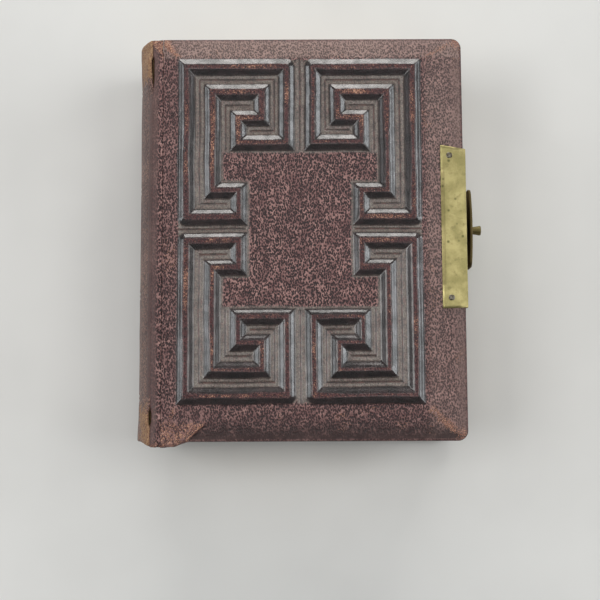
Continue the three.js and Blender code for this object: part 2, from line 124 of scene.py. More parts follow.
# clasp
CLASP_Y = 2.8
BRASS = 0.6
PLATE_LOW, PLATE_HIGH = box_mm("keeper_plate")
PLATE_X0 = PLATE_LOW[0]
PLATE_HALF = 24.35
PLATE_SLANT = 1.2  # how much its head end narrows towards the fore-edge
NAIL_X = 41.3
TAB_HALF = 8.5
TAB_Z = (27.5, 34.2)
SLOT_HALF = 3.8
SLOT_Z = (28.7, 30.9)
HINGE_X, HINGE_Z = 46.9, 5.6
BARREL, PIN = 1.1, 0.5  # radii
PIN_GAP = 0.08  # between the pin and the knuckles round it
KNUCKLE, KNUCKLE_PITCH = 4.4, 4.65
HASP_X0 = 46.95
HASP_BOW, HASP_SHEET, HASP_HALF = 0.8, 0.8, 11.6
HASP_FACE = HASP_BOW + HASP_SHEET  # how far the hasp's outer face is from HASP_X0
HASP_Z = (6.95, 33.3)
KNOB_Z = 28.0
KNOB_TIP_X = box_mm("knob")[1][0]
RIVET_Z = 11.6


# ---- numbers over a plane ----
def ramp(value, start, end):
    """0 before start, 1 after end and smooth between."""
    t = np.clip((value - start) / (end - start), 0, 1)
    return t * t * (3 - 2 * t)


def noise(x, y, size, seed):
    """Smooth random numbers from -1 to 1 that change over about the given size."""
    table = np.random.default_rng(seed).uniform(-1, 1, (64, 64))
    u, v = np.asarray(x) / size, np.asarray(y) / size
    i, j = np.floor(u).astype(int), np.floor(v).astype(int)
    fu, fv = ramp(u - i, 0, 1), ramp(v - j, 0, 1)
    low = table[i % 64, j % 64] * (1 - fu) + table[(i + 1) % 64, j % 64] * fu
    high = table[i % 64, (j + 1) % 64] * (1 - fu) + table[(i + 1) % 64, (j + 1) % 64] * fu
    return low * (1 - fv) + high * fv


def rough_noise(x, y, size, seed):
    """The same with finer and weaker noise added."""
    octaves = 3
    total = sum(noise(x, y, size / 2**k, seed + k) / 2**k for k in range(octaves))
    return total / (2 - 2 ** (1 - octaves))


def mitred_distance(u, v, path):
    """Distance from a path of upright and level lines, with square corners at every distance."""
    nearest = np.full(np.shape(u), 1e9)
    for (a, b), (c, d) in zip(path, path[1:]):
        beyond_u = np.maximum(np.maximum(min(a, c) - u, u - max(a, c)), 0)
        beyond_v = np.maximum(np.maximum(min(b, d) - v, v - max(b, d)), 0)
        nearest = np.minimum(nearest, np.maximum(beyond_u, beyond_v))
    return nearest


def ridge_distance(u, v):
    """Distance from the key pattern's centre line, at a place in from the panel's corner."""
    nearest = mitred_distance(u, v, RIDGE_LOOP)
    for (corner_u, corner_v), (way_u, way_v) in ROUND_CORNERS:
        out_u, out_v = (u - corner_u) * way_u, (v - corner_v) * way_v
        outside = (out_u > 0) & (out_v > 0) & (np.maximum(out_u, out_v) < 5)
        nearest = np.where(outside, np.hypot(out_u, out_v), nearest)
    return nearest


def mesh_lines(low, high, marks, step):
    """Places from low to high that include the marks, less near-duplicates, with no gap over step."""
    fixed = [low]
    for mark in sorted(m for m in marks if low + 0.1 < m < high - 0.1):
        if mark - fixed[-1] > 0.09:
            fixed.append(mark)
    lines = []
    for a, b in zip(fixed, fixed[1:] + [high]):
        count = max(1, math.ceil((b - a) / step))
        lines += [a + (b - a) * i / count for i in range(count)]
    return np.array(lines + [high])


# ---- meshes ----
def xyz(x, y, z):
    """Points from three coordinates, any of which may be one number for all."""
    return np.stack(np.broadcast_arrays(x, y, z), axis=-1)


def grid_faces(rows, cols):
    index = np.arange(rows * cols).reshape(rows, cols)
    corners = [index[:-1, :-1], index[:-1, 1:], index[1:, 1:], index[1:, :-1]]
    return np.stack([c.ravel() for c in corners], axis=1)


def rim_indices(rows, cols):
    """Indices round a grid's edge, anticlockwise from its first corner."""
    return np.concatenate([
        np.arange(cols),
        np.arange(1, rows) * cols + cols - 1,
        (rows - 1) * cols + np.arange(cols - 2, -1, -1),
        np.arange(rows - 2, 0, -1) * cols,
    ])


def band_faces(upper, lower):
    """Faces between two closed loops of vertex indices of the same length."""
    return np.stack([lower, np.roll(lower, -1), np.roll(upper, -1), upper], axis=1)


def shell(top, rings, bottom=None):
    """A closed body: a grid, the rings of points that go down round it, and a lower grid or a flat end."""
    rows, cols = top.shape[:2]
    rim = rim_indices(rows, cols)
    points, quads, tris = [top.reshape(-1, 3)], [grid_faces(rows, cols)], []
    loops, count = [rim], rows * cols
    for ring in rings:
        points.append(ring)
        loops.append(count + np.arange(len(ring)))
        count += len(ring)
    if bottom is None:
        last = loops[-1]
        points.append(points[-1].mean(0)[None])
        tris.append(np.stack([np.roll(last, -1), last, np.full(len(last), count)], axis=1))
    else:
        points.append(bottom.reshape(-1, 3))
        loops.append(count + rim)
        quads.append(count + grid_faces(rows, cols)[:, ::-1])
    quads += [band_faces(a, b) for a, b in zip(loops, loops[1:])]
    return np.concatenate(points), quads, tris


def loft(rings, centres=None, narrow_from=None):
    """A closed body through closed rings of points, with a face over each end.

    An end face fans out from the ring's middle or from a given centre. Over a long, narrow ring it
    goes straight across instead, starting from the ring's point narrow_from.
    """
    count = len(rings[0])
    loops = [np.arange(count) + i * count for i in range(len(rings))]
    quads = [band_faces(b, a) for a, b in zip(loops, loops[1:])]
    if narrow_from is not None:
        loop = np.roll(np.arange(count), -narrow_from)
        ahead, back = loop[:count // 2], loop[::-1][:count // 2]
        across = np.stack([ahead[:-1], ahead[1:], back[1:], back[:-1]], axis=1)
        return np.concatenate(rings), [*quads, across[:, ::-1], across + loops[-1][0]], []
    if centres is None:
        centres = rings[0].mean(0), rings[-1].mean(0)
    points = np.concatenate([*rings, np.array(centres)])
    first, last, end = loops[0], loops[-1], len(rings) * count
    tris = [
        np.stack([np.roll(first, -1), first, np.full(count, end)], axis=1),
        np.stack([last, np.roll(last, -1), np.full(count, end + 1)], axis=1),
    ]
    return points, quads, tris


def circle(sides):
    angles = np.arange(sides) * 2 * math.pi / sides
    return xyz(np.cos(angles), np.sin(angles), 0)


def turned(profile, sides):
    """A turned body about the z axis through (radius, z) points; the first and last may be on the axis."""
    return loft([circle(sides) * max(r, 1e-3) + [0, 0, z] for r, z in profile])


def round_hole(rings):
    """A closed body round a hole, through rings of points that come back to the first one."""
    count = len(rings[0])
    loops = [np.arange(count) + i * count for i in range(len(rings))]
    quads = [band_faces(a, b) for a, b in zip(loops, loops[1:] + loops[:1])]
    return np.concatenate(rings), quads, []


def joined(*bodies):
    """Several bodies as one."""
    points, quads, tris, count = [], [], [], 0
    for p, q, t in bodies:
        points.append(p)
        quads += [faces + count for faces in q]
        tris += [faces + count for faces in t]
        count += len(p)
    return np.concatenate(points), quads, tris


def moved(body, offset, order=(0, 1, 2)):
    """The same body with its axes taken in another order, then moved."""
    points, quads, tris = body
    return points[:, list(order)] + offset, quads, tris


def signed_volume(points, quads, tris):
    total = 0.0
    for faces in [*quads, *tris]:
        a = points[faces[:, 0]]
        for i in range(1, faces.shape[1] - 1):
            total += np.einsum("ij,ij->", a, np.cross(points[faces[:, i]], points[faces[:, i + 1]]))
    return total


def piece(name, body, material, replaces, layers=None, sharp=None):
    """A mesh object from points in millimetres. A layer is a number per point, for its material."""
    points, quads, tris = body
    if signed_volume(points, quads, tris) < 0:
        quads, tris = [f[:, ::-1] for f in quads], [f[:, ::-1] for f in tris]
    mesh = bpy.data.meshes.new(name)
    faces = [f for block in [*quads, *tris] for f in block.tolist()]
    mesh.from_pydata((points / 1000).tolist(), [], faces)
    mesh.attributes.new("rest", "FLOAT_VECTOR", "POINT").data.foreach_set("vector", points.ravel())
    for layer, values in (layers or {}).items():
        mesh.attributes.new(layer, "FLOAT", "POINT").data.foreach_set("value", values.ravel())
    mesh.shade_smooth()
    if sharp is not None:
        mesh.set_sharp_from_angle(angle=math.radians(sharp))
    mesh.materials.append(material)
    mesh.update()
    obj = bpy.data.objects.new(name, mesh)
    bpy.context.scene.collection.objects.link(obj)
    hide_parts(*replaces)
    return obj


def place(body, side):
    """A body whose z is the depth below a cover's outer face, put on the front or back of the book."""
    points, quads, tris = body
    if side == "front":
        points = points * [1, 1, -1] + [0, 0, THICKNESS]
    return points, quads, tris


# ---- materials ----
def srgb(red, green, blue):
    """A colour given as 0 to 255 on a screen, as the linear colour that shaders take."""
    values = [c / 255 for c in (red, green, blue)]
    linear = [c / 12.92 if c <= 0.04045 else ((c + 0.055) / 1.055) ** 2.4 for c in values]
    return (*linear, 1.0)


class Finish:
    """A node material written as calls. Texture sizes are in millimetres."""

    def __init__(self, name, rest=True):
        self.material = bpy.data.materials.new(name)
        self.material.use_nodes = True
        self.nodes, self.links = self.material.node_tree.nodes, self.material.node_tree.links
        self.shader = self.nodes["Principled BSDF"]
        # the rest layer is a point's place in the closed book, and CAD shapes don't have it
        if rest:
            self.place = self.node("ShaderNodeAttribute", attribute_name="rest").outputs["Vector"]
        else:
            coords = self.node("ShaderNodeTexCoord").outputs["Object"]
            self.place = self.node("ShaderNodeVectorMath", {0: coords, 1: (1000,) * 3},
                                   operation="MULTIPLY").outputs[0]

    def node(self, kind, inputs=None, **settings):
        node = self.nodes.new(kind)
        for name, value in settings.items():
            setattr(node, name, value)
        for name, value in (inputs or {}).items():
            if isinstance(value, bpy.types.NodeSocket):
                self.links.new(value, node.inputs[name])
            else:
                node.inputs[name].default_value = value
        return node

    def layer(self, name):
        return self.node("ShaderNodeAttribute", attribute_name=name).outputs["Fac"]

    def math(self, operation, a, b):
        return self.node("ShaderNodeMath", {0: a, 1: b}, operation=operation).outputs[0]

    def plus(self, a, b):
        return self.math("ADD", a, b)

    def minus(self, a, b):
        return self.math("SUBTRACT", a, b)

    def times(self, a, b):
        return self.math("MULTIPLY", a, b)

    def most(self, a, b):
        return self.math("MAXIMUM", a, b)

    def varied(self, value, texture, amount):
        """The value, moved up and down by a texture whose middle is 0.5."""
        return self.plus(value, self.times(self.minus(texture, 0.5), amount))

    def ramp(self, value, start, end, low=0.0, high=1.0):
        inputs = {"Value": value, "From Min": start, "From Max": end, "To Min": low, "To Max": high}
        return self.node("ShaderNodeMapRange", inputs, interpolation_type="SMOOTHSTEP").outputs[0]

    def mix(self, factor, a, b):
        """Two colours mixed, each a socket or a screen colour from 0 to 255."""
        a, b = [c if isinstance(c, bpy.types.NodeSocket) else srgb(*c) for c in (a, b)]
        return self.node("ShaderNodeMix", {0: factor, 6: a, 7: b}, data_type="RGBA").outputs[2]

    def blend(self, factor, a, b):
        return self.node("ShaderNodeMix", {0: factor, 2: a, 3: b}).outputs[0]

    def stretched(self, scale, turn=0.0):
        inputs = {"Vector": self.place, "Rotation": (0, 0, turn), "Scale": scale}
        return self.node("ShaderNodeMapping", inputs).outputs[0]

    def noise(self, size, detail, vector=None, roughness=0.55):
        inputs = {"Vector": vector or self.place, "Scale": 1 / size, "Detail": detail,
                  "Roughness": roughness}
        return self.node("ShaderNodeTexNoise", inputs).outputs["Fac"]

    def cells(self, size, vector=None):
        inputs = {"Vector": vector or self.place, "Scale": 1 / size, "Randomness": 1.0}
        return self.node("ShaderNodeTexVoronoi", inputs, feature="F1").outputs["Distance"]

    def bump(self, height):
        """Height is in millimetres."""
        inputs = {"Height": height, "Strength": 1.0, "Distance": 0.001}
        return self.node("ShaderNodeBump", inputs).outputs[0]

    def finish(self, color, roughness, normal=None, **plain):
        sockets = {"Base Color": color, "Roughness": roughness, **plain}
        if normal is not None:
            sockets["Normal"] = normal
        for name, value in sockets.items():
            if isinstance(value, bpy.types.NodeSocket):
                self.links.new(value, self.shader.inputs[name])
            else:
                self.shader.inputs[name].default_value = value
        return self.material


def cover_leather_finish():
    """Embossed, grained leather: pebbled field, burnished slopes, worn tops and edges, floors grey with
    dust and painted reflection, painted light on the head and fore margins, painted shade on the tail
    margin.
    """
    f = Finish("embossed_leather")
    top, slope, floor = f.layer("top"), f.layer("slope"), f.layer("floor")
    line, wear, smooth, painted_light = f.layer("line"), f.layer("wear"), f.layer("smooth"), f.layer("painted_light")
    crumbs = f.noise(0.36, detail=2.0)
    creases = f.noise(0.46, detail=3.0, roughness=0.65)
    round_pebbles = f.cells(0.43, vector=f.stretched(scale=(1.0, 0.62, 1.0), turn=0.62))
    pebbles = f.varied(round_pebbles, creases, 0.4)
    broad = f.noise(15.0, detail=4.0)
    patches = f.noise(3.0, detail=4.0, roughness=0.65)

    base = f.mix(f.ramp(broad, 0.35, 0.65), (56, 27, 31), (73, 39, 42))
    crest = f.mix(f.ramp(patches, 0.35, 0.7), (122, 87, 85), (174, 135, 129))
    grained = f.mix(f.ramp(pebbles, 0.5, 0.66, 0.0, 1.0), base, crest)
    grained = f.mix(f.ramp(pebbles, 0.3, 0.5, 1.0, 0.0), grained, (24, 8, 10))
    softened = f.mix(f.ramp(broad, 0.35, 0.65), (74, 51, 52), (92, 67, 66))
    grained = f.mix(f.times(f.layer("margin"), 0.2), grained, softened)
    even = f.mix(f.ramp(broad, 0.35, 0.65), (78, 54, 53), (98, 74, 70))
    even = f.mix(f.ramp(creases, 0.5, 0.7, 0.0, 0.6), even, (52, 30, 30))
    grained = f.mix(f.times(smooth, 0.75), grained, even)
    # painted light: the head margin, and the fore margin at half strength, are lightened with a pale grain
    # colour where the lamps fall
    grained = f.mix(f.times(painted_light, f.ramp(pebbles, 0.34, 0.62, 0.25, 0.8)), grained, (162, 138, 130))
    burnished = f.mix(f.ramp(patches, 0.35, 0.7), (16, 8, 10), (46, 28, 30))
    # painted shade: the tail margin is darkened towards the bottom edge
    grained = f.mix(f.times(f.layer("shade"), f.ramp(patches, 0.35, 0.75, 0.85, 0.35)), grained,
                    (38, 20, 20))
    color = f.mix(slope, grained, burnished)
    # the floors' grey is partly dust and partly a painted reflection of the ceiling above
    dust_and_reflection = f.mix(f.ramp(crumbs, 0.3, 0.7), (84, 76, 72), (132, 124, 114))
    dust_and_reflection_mask = f.times(floor, f.ramp(patches, 0.25, 0.65, 0.4, 0.95))
    color = f.mix(dust_and_reflection_mask, color, dust_and_reflection)
    color = f.mix(f.times(line, 0.9), color,
                  f.mix(f.ramp(patches, 0.45, 0.62), (32, 16, 16), (84, 44, 38)))

    flecks = f.noise(0.27, detail=1.0)
    rubbed = f.varied(wear, creases, 1.5)
    rubbed = f.varied(rubbed, flecks, 2.0)
    rubbed = f.varied(rubbed, patches, 1.1)
    top_red = f.mix(f.ramp(creases, 0.38, 0.62), (34, 14, 18), (88, 44, 46))
    color = f.mix(f.times(top, 0.9), color, top_red)
    bare = f.mix(f.ramp(crumbs, 0.35, 0.68), (132, 84, 70), (204, 158, 131))
    color = f.mix(f.ramp(rubbed, 0.7, 0.95, 0.0, 0.95), color, bare)

    roughness = f.blend(slope, f.ramp(pebbles, 0.1, 0.6, 0.36, 0.6), 0.3)
    roughness = f.blend(floor, roughness, 0.4)
    roughness = f.blend(f.ramp(rubbed, 0.5, 0.95), roughness, 0.72)

    calm = f.times(f.most(slope, floor), 0.8)
    depth = f.minus(1.0, f.most(calm, f.times(smooth, 0.8)))
    height = f.times(f.times(pebbles, 0.27), depth)
    height = f.plus(height, f.times(crumbs, 0.05))
    hatching = f.noise(0.28, detail=2.0, vector=f.stretched(scale=(1.0, 0.45, 1.0), turn=-0.8))
    ripples = f.times(f.most(slope, f.times(floor, 0.4)), hatching)
    height = f.plus(height, f.times(ripples, 0.48))
    height = f.minus(height, f.times(f.ramp(rubbed, 0.5, 0.95), 0.05))
    polish = f.times(f.most(slope, f.times(floor, 0.5)), f.ramp(patches, 0.3, 0.7, 0.5, 1.0))
    return f.finish(color, roughness, f.bump(height), **{
        "Coat Weight": polish, "Coat Roughness": 0.13, "Coat IOR": 1.65})


def spine_leather_finish():
    f = Finish("smooth_leather")
    wear = f.layer("wear")
    creases = f.noise(0.8, detail=5.0, vector=f.stretched(scale=(1.0, 0.3, 1.0)), roughness=0.7)
    crumbs = f.noise(0.5, detail=3.0)
    pores = f.varied(f.cells(0.62), crumbs, 0.5)
    broad = f.noise(16.0, detail=5.0)
    patches = f.noise(2.2, detail=4.0, roughness=0.65)
    color = f.mix(f.ramp(broad, 0.35, 0.65), (114, 80, 73), (150, 115, 103))
    color = f.mix(f.ramp(pores, 0.36, 0.56, 0.0, 0.75), color, (40, 22, 22))
    color = f.mix(f.ramp(pores, 0.1, 0.34, 0.5, 0.0), color, (156, 126, 114))
    color = f.mix(f.ramp(creases, 0.56, 0.75, 0.0, 0.5), color, (52, 32, 31))
    rubbed = f.varied(wear, crumbs, 1.4)
    rubbed = f.varied(rubbed, broad, 0.5)
    rubbed = f.varied(rubbed, patches, 1.9)
    bare = f.mix(f.ramp(crumbs, 0.35, 0.65), (126, 88, 64), (176, 142, 108))
    color = f.mix(f.ramp(rubbed, 0.42, 0.85, 0.0, 0.9), color, bare)
    height = f.plus(f.times(creases, 0.12), f.times(pores, -0.16))
    return f.finish(color, f.ramp(rubbed, 0.3, 0.8, 0.44, 0.72), f.bump(height))


def leaf_finish(name, light, dark):
    """Paper, toned by age, with edges that still have the last of their gilding."""
    f = Finish(name)
    fibres = f.noise(0.5, detail=4.0)
    tone = f.noise(24.0, detail=4.0)
    spots = f.cells(9.0)
    face = f.mix(f.ramp(tone, 0.3, 0.7), light, dark)
    face = f.mix(f.ramp(spots, 0.02, 0.12, 0.4, 0.0), face, (168, 126, 78))
    leaves = f.noise(0.22, detail=1.0, vector=f.stretched(scale=(0.006, 0.006, 1.0)))
    stains = f.noise(30.0, detail=6.0, roughness=0.6)
    gilt = f.mix(f.ramp(leaves, 0.3, 0.7), (158, 134, 98), (190, 168, 128))
    gilt = f.mix(f.ramp(stains, 0.4, 0.75, 0.0, 0.6), gilt, (136, 106, 72))
    edge = f.layer("edge")
    height = f.times(f.blend(edge, fibres, leaves), 0.04)
    return f.finish(f.mix(edge, face, gilt), f.blend(edge, 0.85, 0.55), f.bump(height))


def brass_finish():
    f = Finish("aged_brass")
    tarnish_and_shade = f.layer("tarnish_and_shade")
    patina = f.noise(6.0, detail=5.0, roughness=0.62)
    blotches = f.noise(1.6, detail=3.0)
    fine = f.noise(0.4, detail=3.0)
    scratches = f.noise(0.2, detail=2.0, vector=f.stretched(scale=(1.0, 0.04, 1.0)))
    specks = f.cells(3.2)
    color = f.mix(f.ramp(patina, 0.35, 0.65), (179, 168, 118), (151, 143, 96))
    color = f.mix(f.ramp(blotches, 0.52, 0.72, 0.0, 0.6), color, (132, 124, 84))
    color = f.mix(f.ramp(specks, 0.05, 0.2, 0.8, 0.0), color, (84, 84, 50))
    # real tarnish, and painted shade on turned-down, inner and hidden faces
    color = f.mix(tarnish_and_shade, color, (74, 58, 36))
    roughness = f.plus(f.ramp(patina, 0.3, 0.7, 0.3, 0.44), f.ramp(fine, 0.4, 0.7, 0.0, 0.1))
    roughness = f.blend(tarnish_and_shade, roughness, 0.6)
    height = f.plus(f.times(scratches, 0.01), f.times(fine, 0.008))
    return f.finish(color, roughness, f.bump(height), Metallic=0.92)


def steel_finish(name="dark_steel", rest=True):
    f = Finish(name, rest)
    rust = f.noise(0.7, detail=4.0)
    color = f.mix(f.ramp(rust, 0.4, 0.65), (128, 124, 112), (78, 66, 52))
    return f.finish(color, f.ramp(rust, 0.3, 0.7, 0.3, 0.55), f.bump(f.times(rust, 0.03)),
                    Metallic=0.8)


def plain_fibre_finish(name, light, dark, size=0.5):
    """Millboard, spine lining and sewing cord, which lie inside the binding."""
    f = Finish(name, rest=False)
    fibres = f.noise(size, detail=4.0)
    color = f.mix(f.ramp(fibres, 0.3, 0.7), light, dark)
    return f.finish(color, 0.9, f.bump(f.times(fibres, 0.08)))


def silk_finish():
    f = Finish("headband_silk")
    stripe = f.layer("stripe")
    threads = f.noise(0.18, detail=2.0)
    color = f.mix(stripe, (126, 52, 44), (202, 186, 146))
    color = f.mix(f.ramp(threads, 0.4, 0.7, 0.0, 0.4), color, (60, 40, 32))
    return f.finish(color, 0.55, f.bump(f.times(threads, 0.04)))


# ---- covers ----
MARGINS = {
    "hinge": PANEL_CENTRE[0] - PANEL_HALF[0] - HINGE_EDGE,
    "fore": FORE_EDGE - PANEL_CENTRE[0] - PANEL_HALF[0],
    "tail": PANEL_CENTRE[1] - PANEL_HALF[1] + HALF_HEIGHT,
    "head": HALF_HEIGHT - PANEL_CENTRE[1] - PANEL_HALF[1],
}


def margin_places(x, y):
    """How far across the margins a point is, 0 at the panel and 1 at the cover's edge, along x and y."""
    from_panel = np.abs(x - PANEL_CENTRE[0]) - PANEL_HALF[0], np.abs(y - PANEL_CENTRE[1]) - PANEL_HALF[1]
    across = from_panel[0] / np.where(x > PANEL_CENTRE[0], MARGINS["fore"], MARGINS["hinge"])
    along = from_panel[1] / np.where(y > PANEL_CENTRE[1], MARGINS["head"], MARGINS["tail"])
    return across, along


# the leather's torn and lifted corner at the front cover's tail, beside the joint
TEAR = (np.array([-30.1, -54.4]), np.array([-36.05, -59.5]))


def torn_corner(x, y):
    """1 on the lifted leather, 0 off it, and 1 along its torn edge."""
    along = (TEAR[1] - TEAR[0]) / np.linalg.norm(TEAR[1] - TEAR[0])
    side = (x - TEAR[0][0]) * along[1] - (y - TEAR[0][1]) * along[0]
    side = side + 0.35 * noise(x, y, 1.3, 71)
    started = ramp(-y, 52.6, 55.2)
    lifted = ramp(side, -0.12, 0.12) * started
    edge = np.exp(-((side - 0.25) / 0.35) ** 2) * started
    return lifted, edge


def bevelled(out):
    """How far the margins slope down at a place across them."""
    return BEVEL * np.clip(out, 0, 1) ** 1.1


def ridge_height(fall):
    """1 on a ridge and 0 off it, with a straight slope between a rounded crest and a hollow foot."""
    crest, foot = 0.13, 0.28  # shares of the slope
    high = 1 - (np.clip(fall, -crest, crest) + crest) ** 2 / (4 * crest)
    low = (1 + foot - np.clip(fall, 1 - foot, 1 + foot)) ** 2 / (4 * foot)
    return np.where(fall < crest, high, np.where(fall > 1 - foot, low, 1 - fall))


def rubbed(x, y, seed, top, worn_down, tear):
    """How rubbed each place is, most of all on ridge tops, mitres, corners and the tear."""
    across, along = margin_places(x, y)
    head_hinge = ramp(y, 40, 50) * (1 - ramp(x, -30, -20))
    low_hinge = (1 - ramp(x, -34, -31)) * ramp(-y, 15, 30)
    margins = np.maximum(across, along)
    mitre = (1 - ramp(np.abs(across - along), 0.03, 0.34 + 0.32 * head_hinge)) * ramp(margins, 0.02, 0.2)
    beside = (1 - ramp(across, 0.05, 0.45)) * ramp(across, 0.0, 0.05) * (x > PANEL_CENTRE[0])
    scuffs = ramp(rough_noise(x, y, 9, seed + 20), 0.1, 0.6) * ramp(margins, 0.0, 0.1)
    from_end = HALF_HEIGHT - np.abs(y)
    lifted, torn_edge = tear
    return np.max([
        top * (0.35 + 0.35 * noise(x, y, 7, seed + 30) + 0.25 * worn_down) * (1 - 0.6 * low_hinge),
        mitre * (0.7 + 0.3 * head_hinge + 0.3 * noise(x, y, 4, seed + 31)),
        1.1 * np.exp(-(np.hypot(FORE_EDGE - x, from_end) / 4.5) ** 2),
        0.85 * np.exp(-(np.hypot(x - HINGE_EDGE, from_end) / 5.0) ** 2),
        0.5 * beside * ramp(noise(x, y, 7, seed + 33), -0.2, 0.6),
        0.45 * (1 - ramp(np.minimum(FORE_EDGE - x, from_end), 0.0, 0.9)),
        0.45 * scuffs,
        1.05 * torn_edge,
        0.72 * lifted,
    ], axis=0)


def emboss(x, y, seed, torn):
    """Depth of the cover's face below the plane of the ridge tops, and the masks its finish reads."""
    wobble = 0.13 * noise(x, y, 11, seed), 0.13 * noise(x, y, 11, seed + 1)
    u = PANEL_HALF[0] - np.abs(x + wobble[0] - PANEL_CENTRE[0])
    v = PANEL_HALF[1] - np.abs(y + wobble[1] - PANEL_CENTRE[1])
    from_ridge = ridge_distance(u, v)
    from_line = np.min([mitred_distance(u, v, path) for path in FINE_LINES], axis=0)
    across, along = margin_places(x, y)
    out = np.clip(np.maximum(across, along), 0, 1)

    crumble = rough_noise(x, y, 1.1, seed + 5)
    worn_down = 0.5 + 0.5 * noise(x, y, 13, seed + 9)
    height = RELIEF * ridge_height((from_ridge - RIDGE_TOP) / (RIDGE_FOOT - RIDGE_TOP))
    height -= (1 - ramp(from_ridge, 0.2, 1.1)) * (0.04 + 0.07 * crumble + 0.06 * worn_down)
    inside = ramp(np.minimum(u, v), -0.05, 0.25)
    on_line = (1 - ramp(from_line, 0.1, 0.34)) * ramp(from_ridge, 1.6, 2.2)
    height -= 0.16 * on_line
    crease = np.exp(-((from_ridge - RIDGE_FOOT - 0.12) / 0.2) ** 2) * (1 - inside)
    height -= 0.14 * crease
    bevel = bevelled(out)
    lifted, torn_edge = tear = torn_corner(x, y) if torn else (0 * x, 0 * x)
    bevel = bevel * (1 - 0.75 * lifted) - 0.12 * torn_edge
    slump = 0.07 * noise(x, y, 17, seed + 12) * ramp(out, 0.02, 0.3)
    depth = RELIEF - height + bevel + slump

    corridor = (1 - ramp(from_line, 1.0, 1.3)) * inside
    border = (1 - ramp(from_ridge, FLOOR_BORDER - 0.3, FLOOR_BORDER)) * inside
    floor = ramp(from_ridge, 2.3, 2.7) * np.maximum(corridor, border)
    top = 1 - ramp(from_ridge, 0.15 + 0.45 * worn_down, 0.55 + 0.5 * worn_down)
    slope = (1 - top) * (1 - ramp(from_ridge, 2.4, 2.8))
    wear = rubbed(x, y, seed, top, worn_down, tear)
    smooth = ramp(np.maximum(across * (x > PANEL_CENTRE[0]), along), 0.6, 0.95) * (1 - 0.7 * lifted)
    # painted light on the head and fore margins, the sides the lamps light most; the noise only makes it
    # uneven
    uneven = 0.5 + 0.35 * rough_noise(x, y, 14, seed + 40)
    at_head, at_fore = along * (y > PANEL_CENTRE[1]), across * (x > PANEL_CENTRE[0])
    painted_light = np.maximum(ramp(at_head, 0.0, 0.15), 0.5 * ramp(at_fore, 0.0, 0.2)) * uneven * 1.6
    # painted shade, darker towards the tail edge, kept off the lifted corner and the side margins
    at_tail = along * (y < PANEL_CENTRE[1])
    shade = ramp(at_tail, 0.25, 0.8) * (1 - lifted) * (1 - ramp(across - along, -0.1, 0.1))
    return depth, {"top": top, "slope": slope, "floor": floor, "line": on_line, "wear": wear,
                   "smooth": smooth, "painted_light": np.clip(painted_light, 0, 1), "margin": ramp(out, 0.0, 0.06),
                   "shade": shade}


def round_corners(x, y, x1, half, radius):
    """Moves a rectangle's points near its two fore-edge corners so that they follow rounded corners."""
    qx = np.clip((x - (x1 - CORNER_REACH)) / CORNER_REACH, 0, 1)
    qy = np.clip((np.abs(y) - (half - CORNER_REACH)) / CORNER_REACH, 0, 1)
    near = (qx > 0) & (qy > 0)
    most = np.maximum(np.maximum(qx, qy), TINY)
    share = np.minimum(qx, qy) / most
    straight = CORNER_REACH - radius
    run = share * (straight + math.pi * radius / 4)
    angle = np.clip((run - straight) / radius, 0, math.pi / 4)
    far = np.where(run < straight, CORNER_REACH, straight + radius * np.cos(angle))
    side = np.where(run < straight, run, straight + radius * np.sin(angle))
    weight = most**4
    far = most * ((1 - weight) * CORNER_REACH + weight * far)
    side = most * ((1 - weight) * CORNER_REACH * share + weight * side)
    dx, dy = np.where(qx >= qy, far, side), np.where(qx >= qy, side, far)
    new_x = np.where(near, x1 - CORNER_REACH + dx, x)
    new_y = np.where(near, np.sign(y) * (half - CORNER_REACH + dy), y)
    return new_x, new_y


def outward(x, y, x0, x1, half, radius):
    """Direction out of the cover's outline at points on it."""
    nx = np.where(x < x0 + TINY, -1.0, np.where(x > x1 - TINY, 1.0, 0.0))
    ny = np.where(np.abs(y) > half - TINY, np.sign(y), 0.0)
    in_x, in_y = x - (x1 - radius), np.abs(y) - (half - radius)
    arc = (in_x > TINY) & (in_y > TINY)
    length = np.maximum(np.hypot(in_x, in_y), TINY)
    nx = np.where(arc, in_x / length, nx)
    ny = np.where(arc, np.sign(y) * in_y / length, ny)
    return nx, ny


def fray(x, y):
    """How far the leather's torn corner and the spine beside it hang out past the tail edge."""
    reach = ramp(-y, 54, 60) * ramp(x, -51.5, -45.5) * (1 - ramp(x, -40.5, -34.8))
    return reach * (1.55 + 0.12 * noise(x, 0, 0.45, 41) + 0.2 * noise(x, 0, 2.4, 43))


def panel_marks(axis):
    """Places along x or y where the cover's mesh needs a line, beside its ridges and fine lines."""
    ridges = {point[axis] for point in RIDGE_LOOP}
    lines = {a[axis] for path in FINE_LINES for a, b in zip(path, path[1:]) if a[axis] == b[axis]}
    beside = [(at, flank) for at in ridges for flank in RIDGE_FLANKS]
    beside += [(at, flank) for at in lines for flank in LINE_FLANKS]
    return [PANEL_CENTRE[axis] + side * (PANEL_HALF[axis] - at + way * flank)
            for at, flank in beside for side in (-1, 1) for way in (-1, 1)]


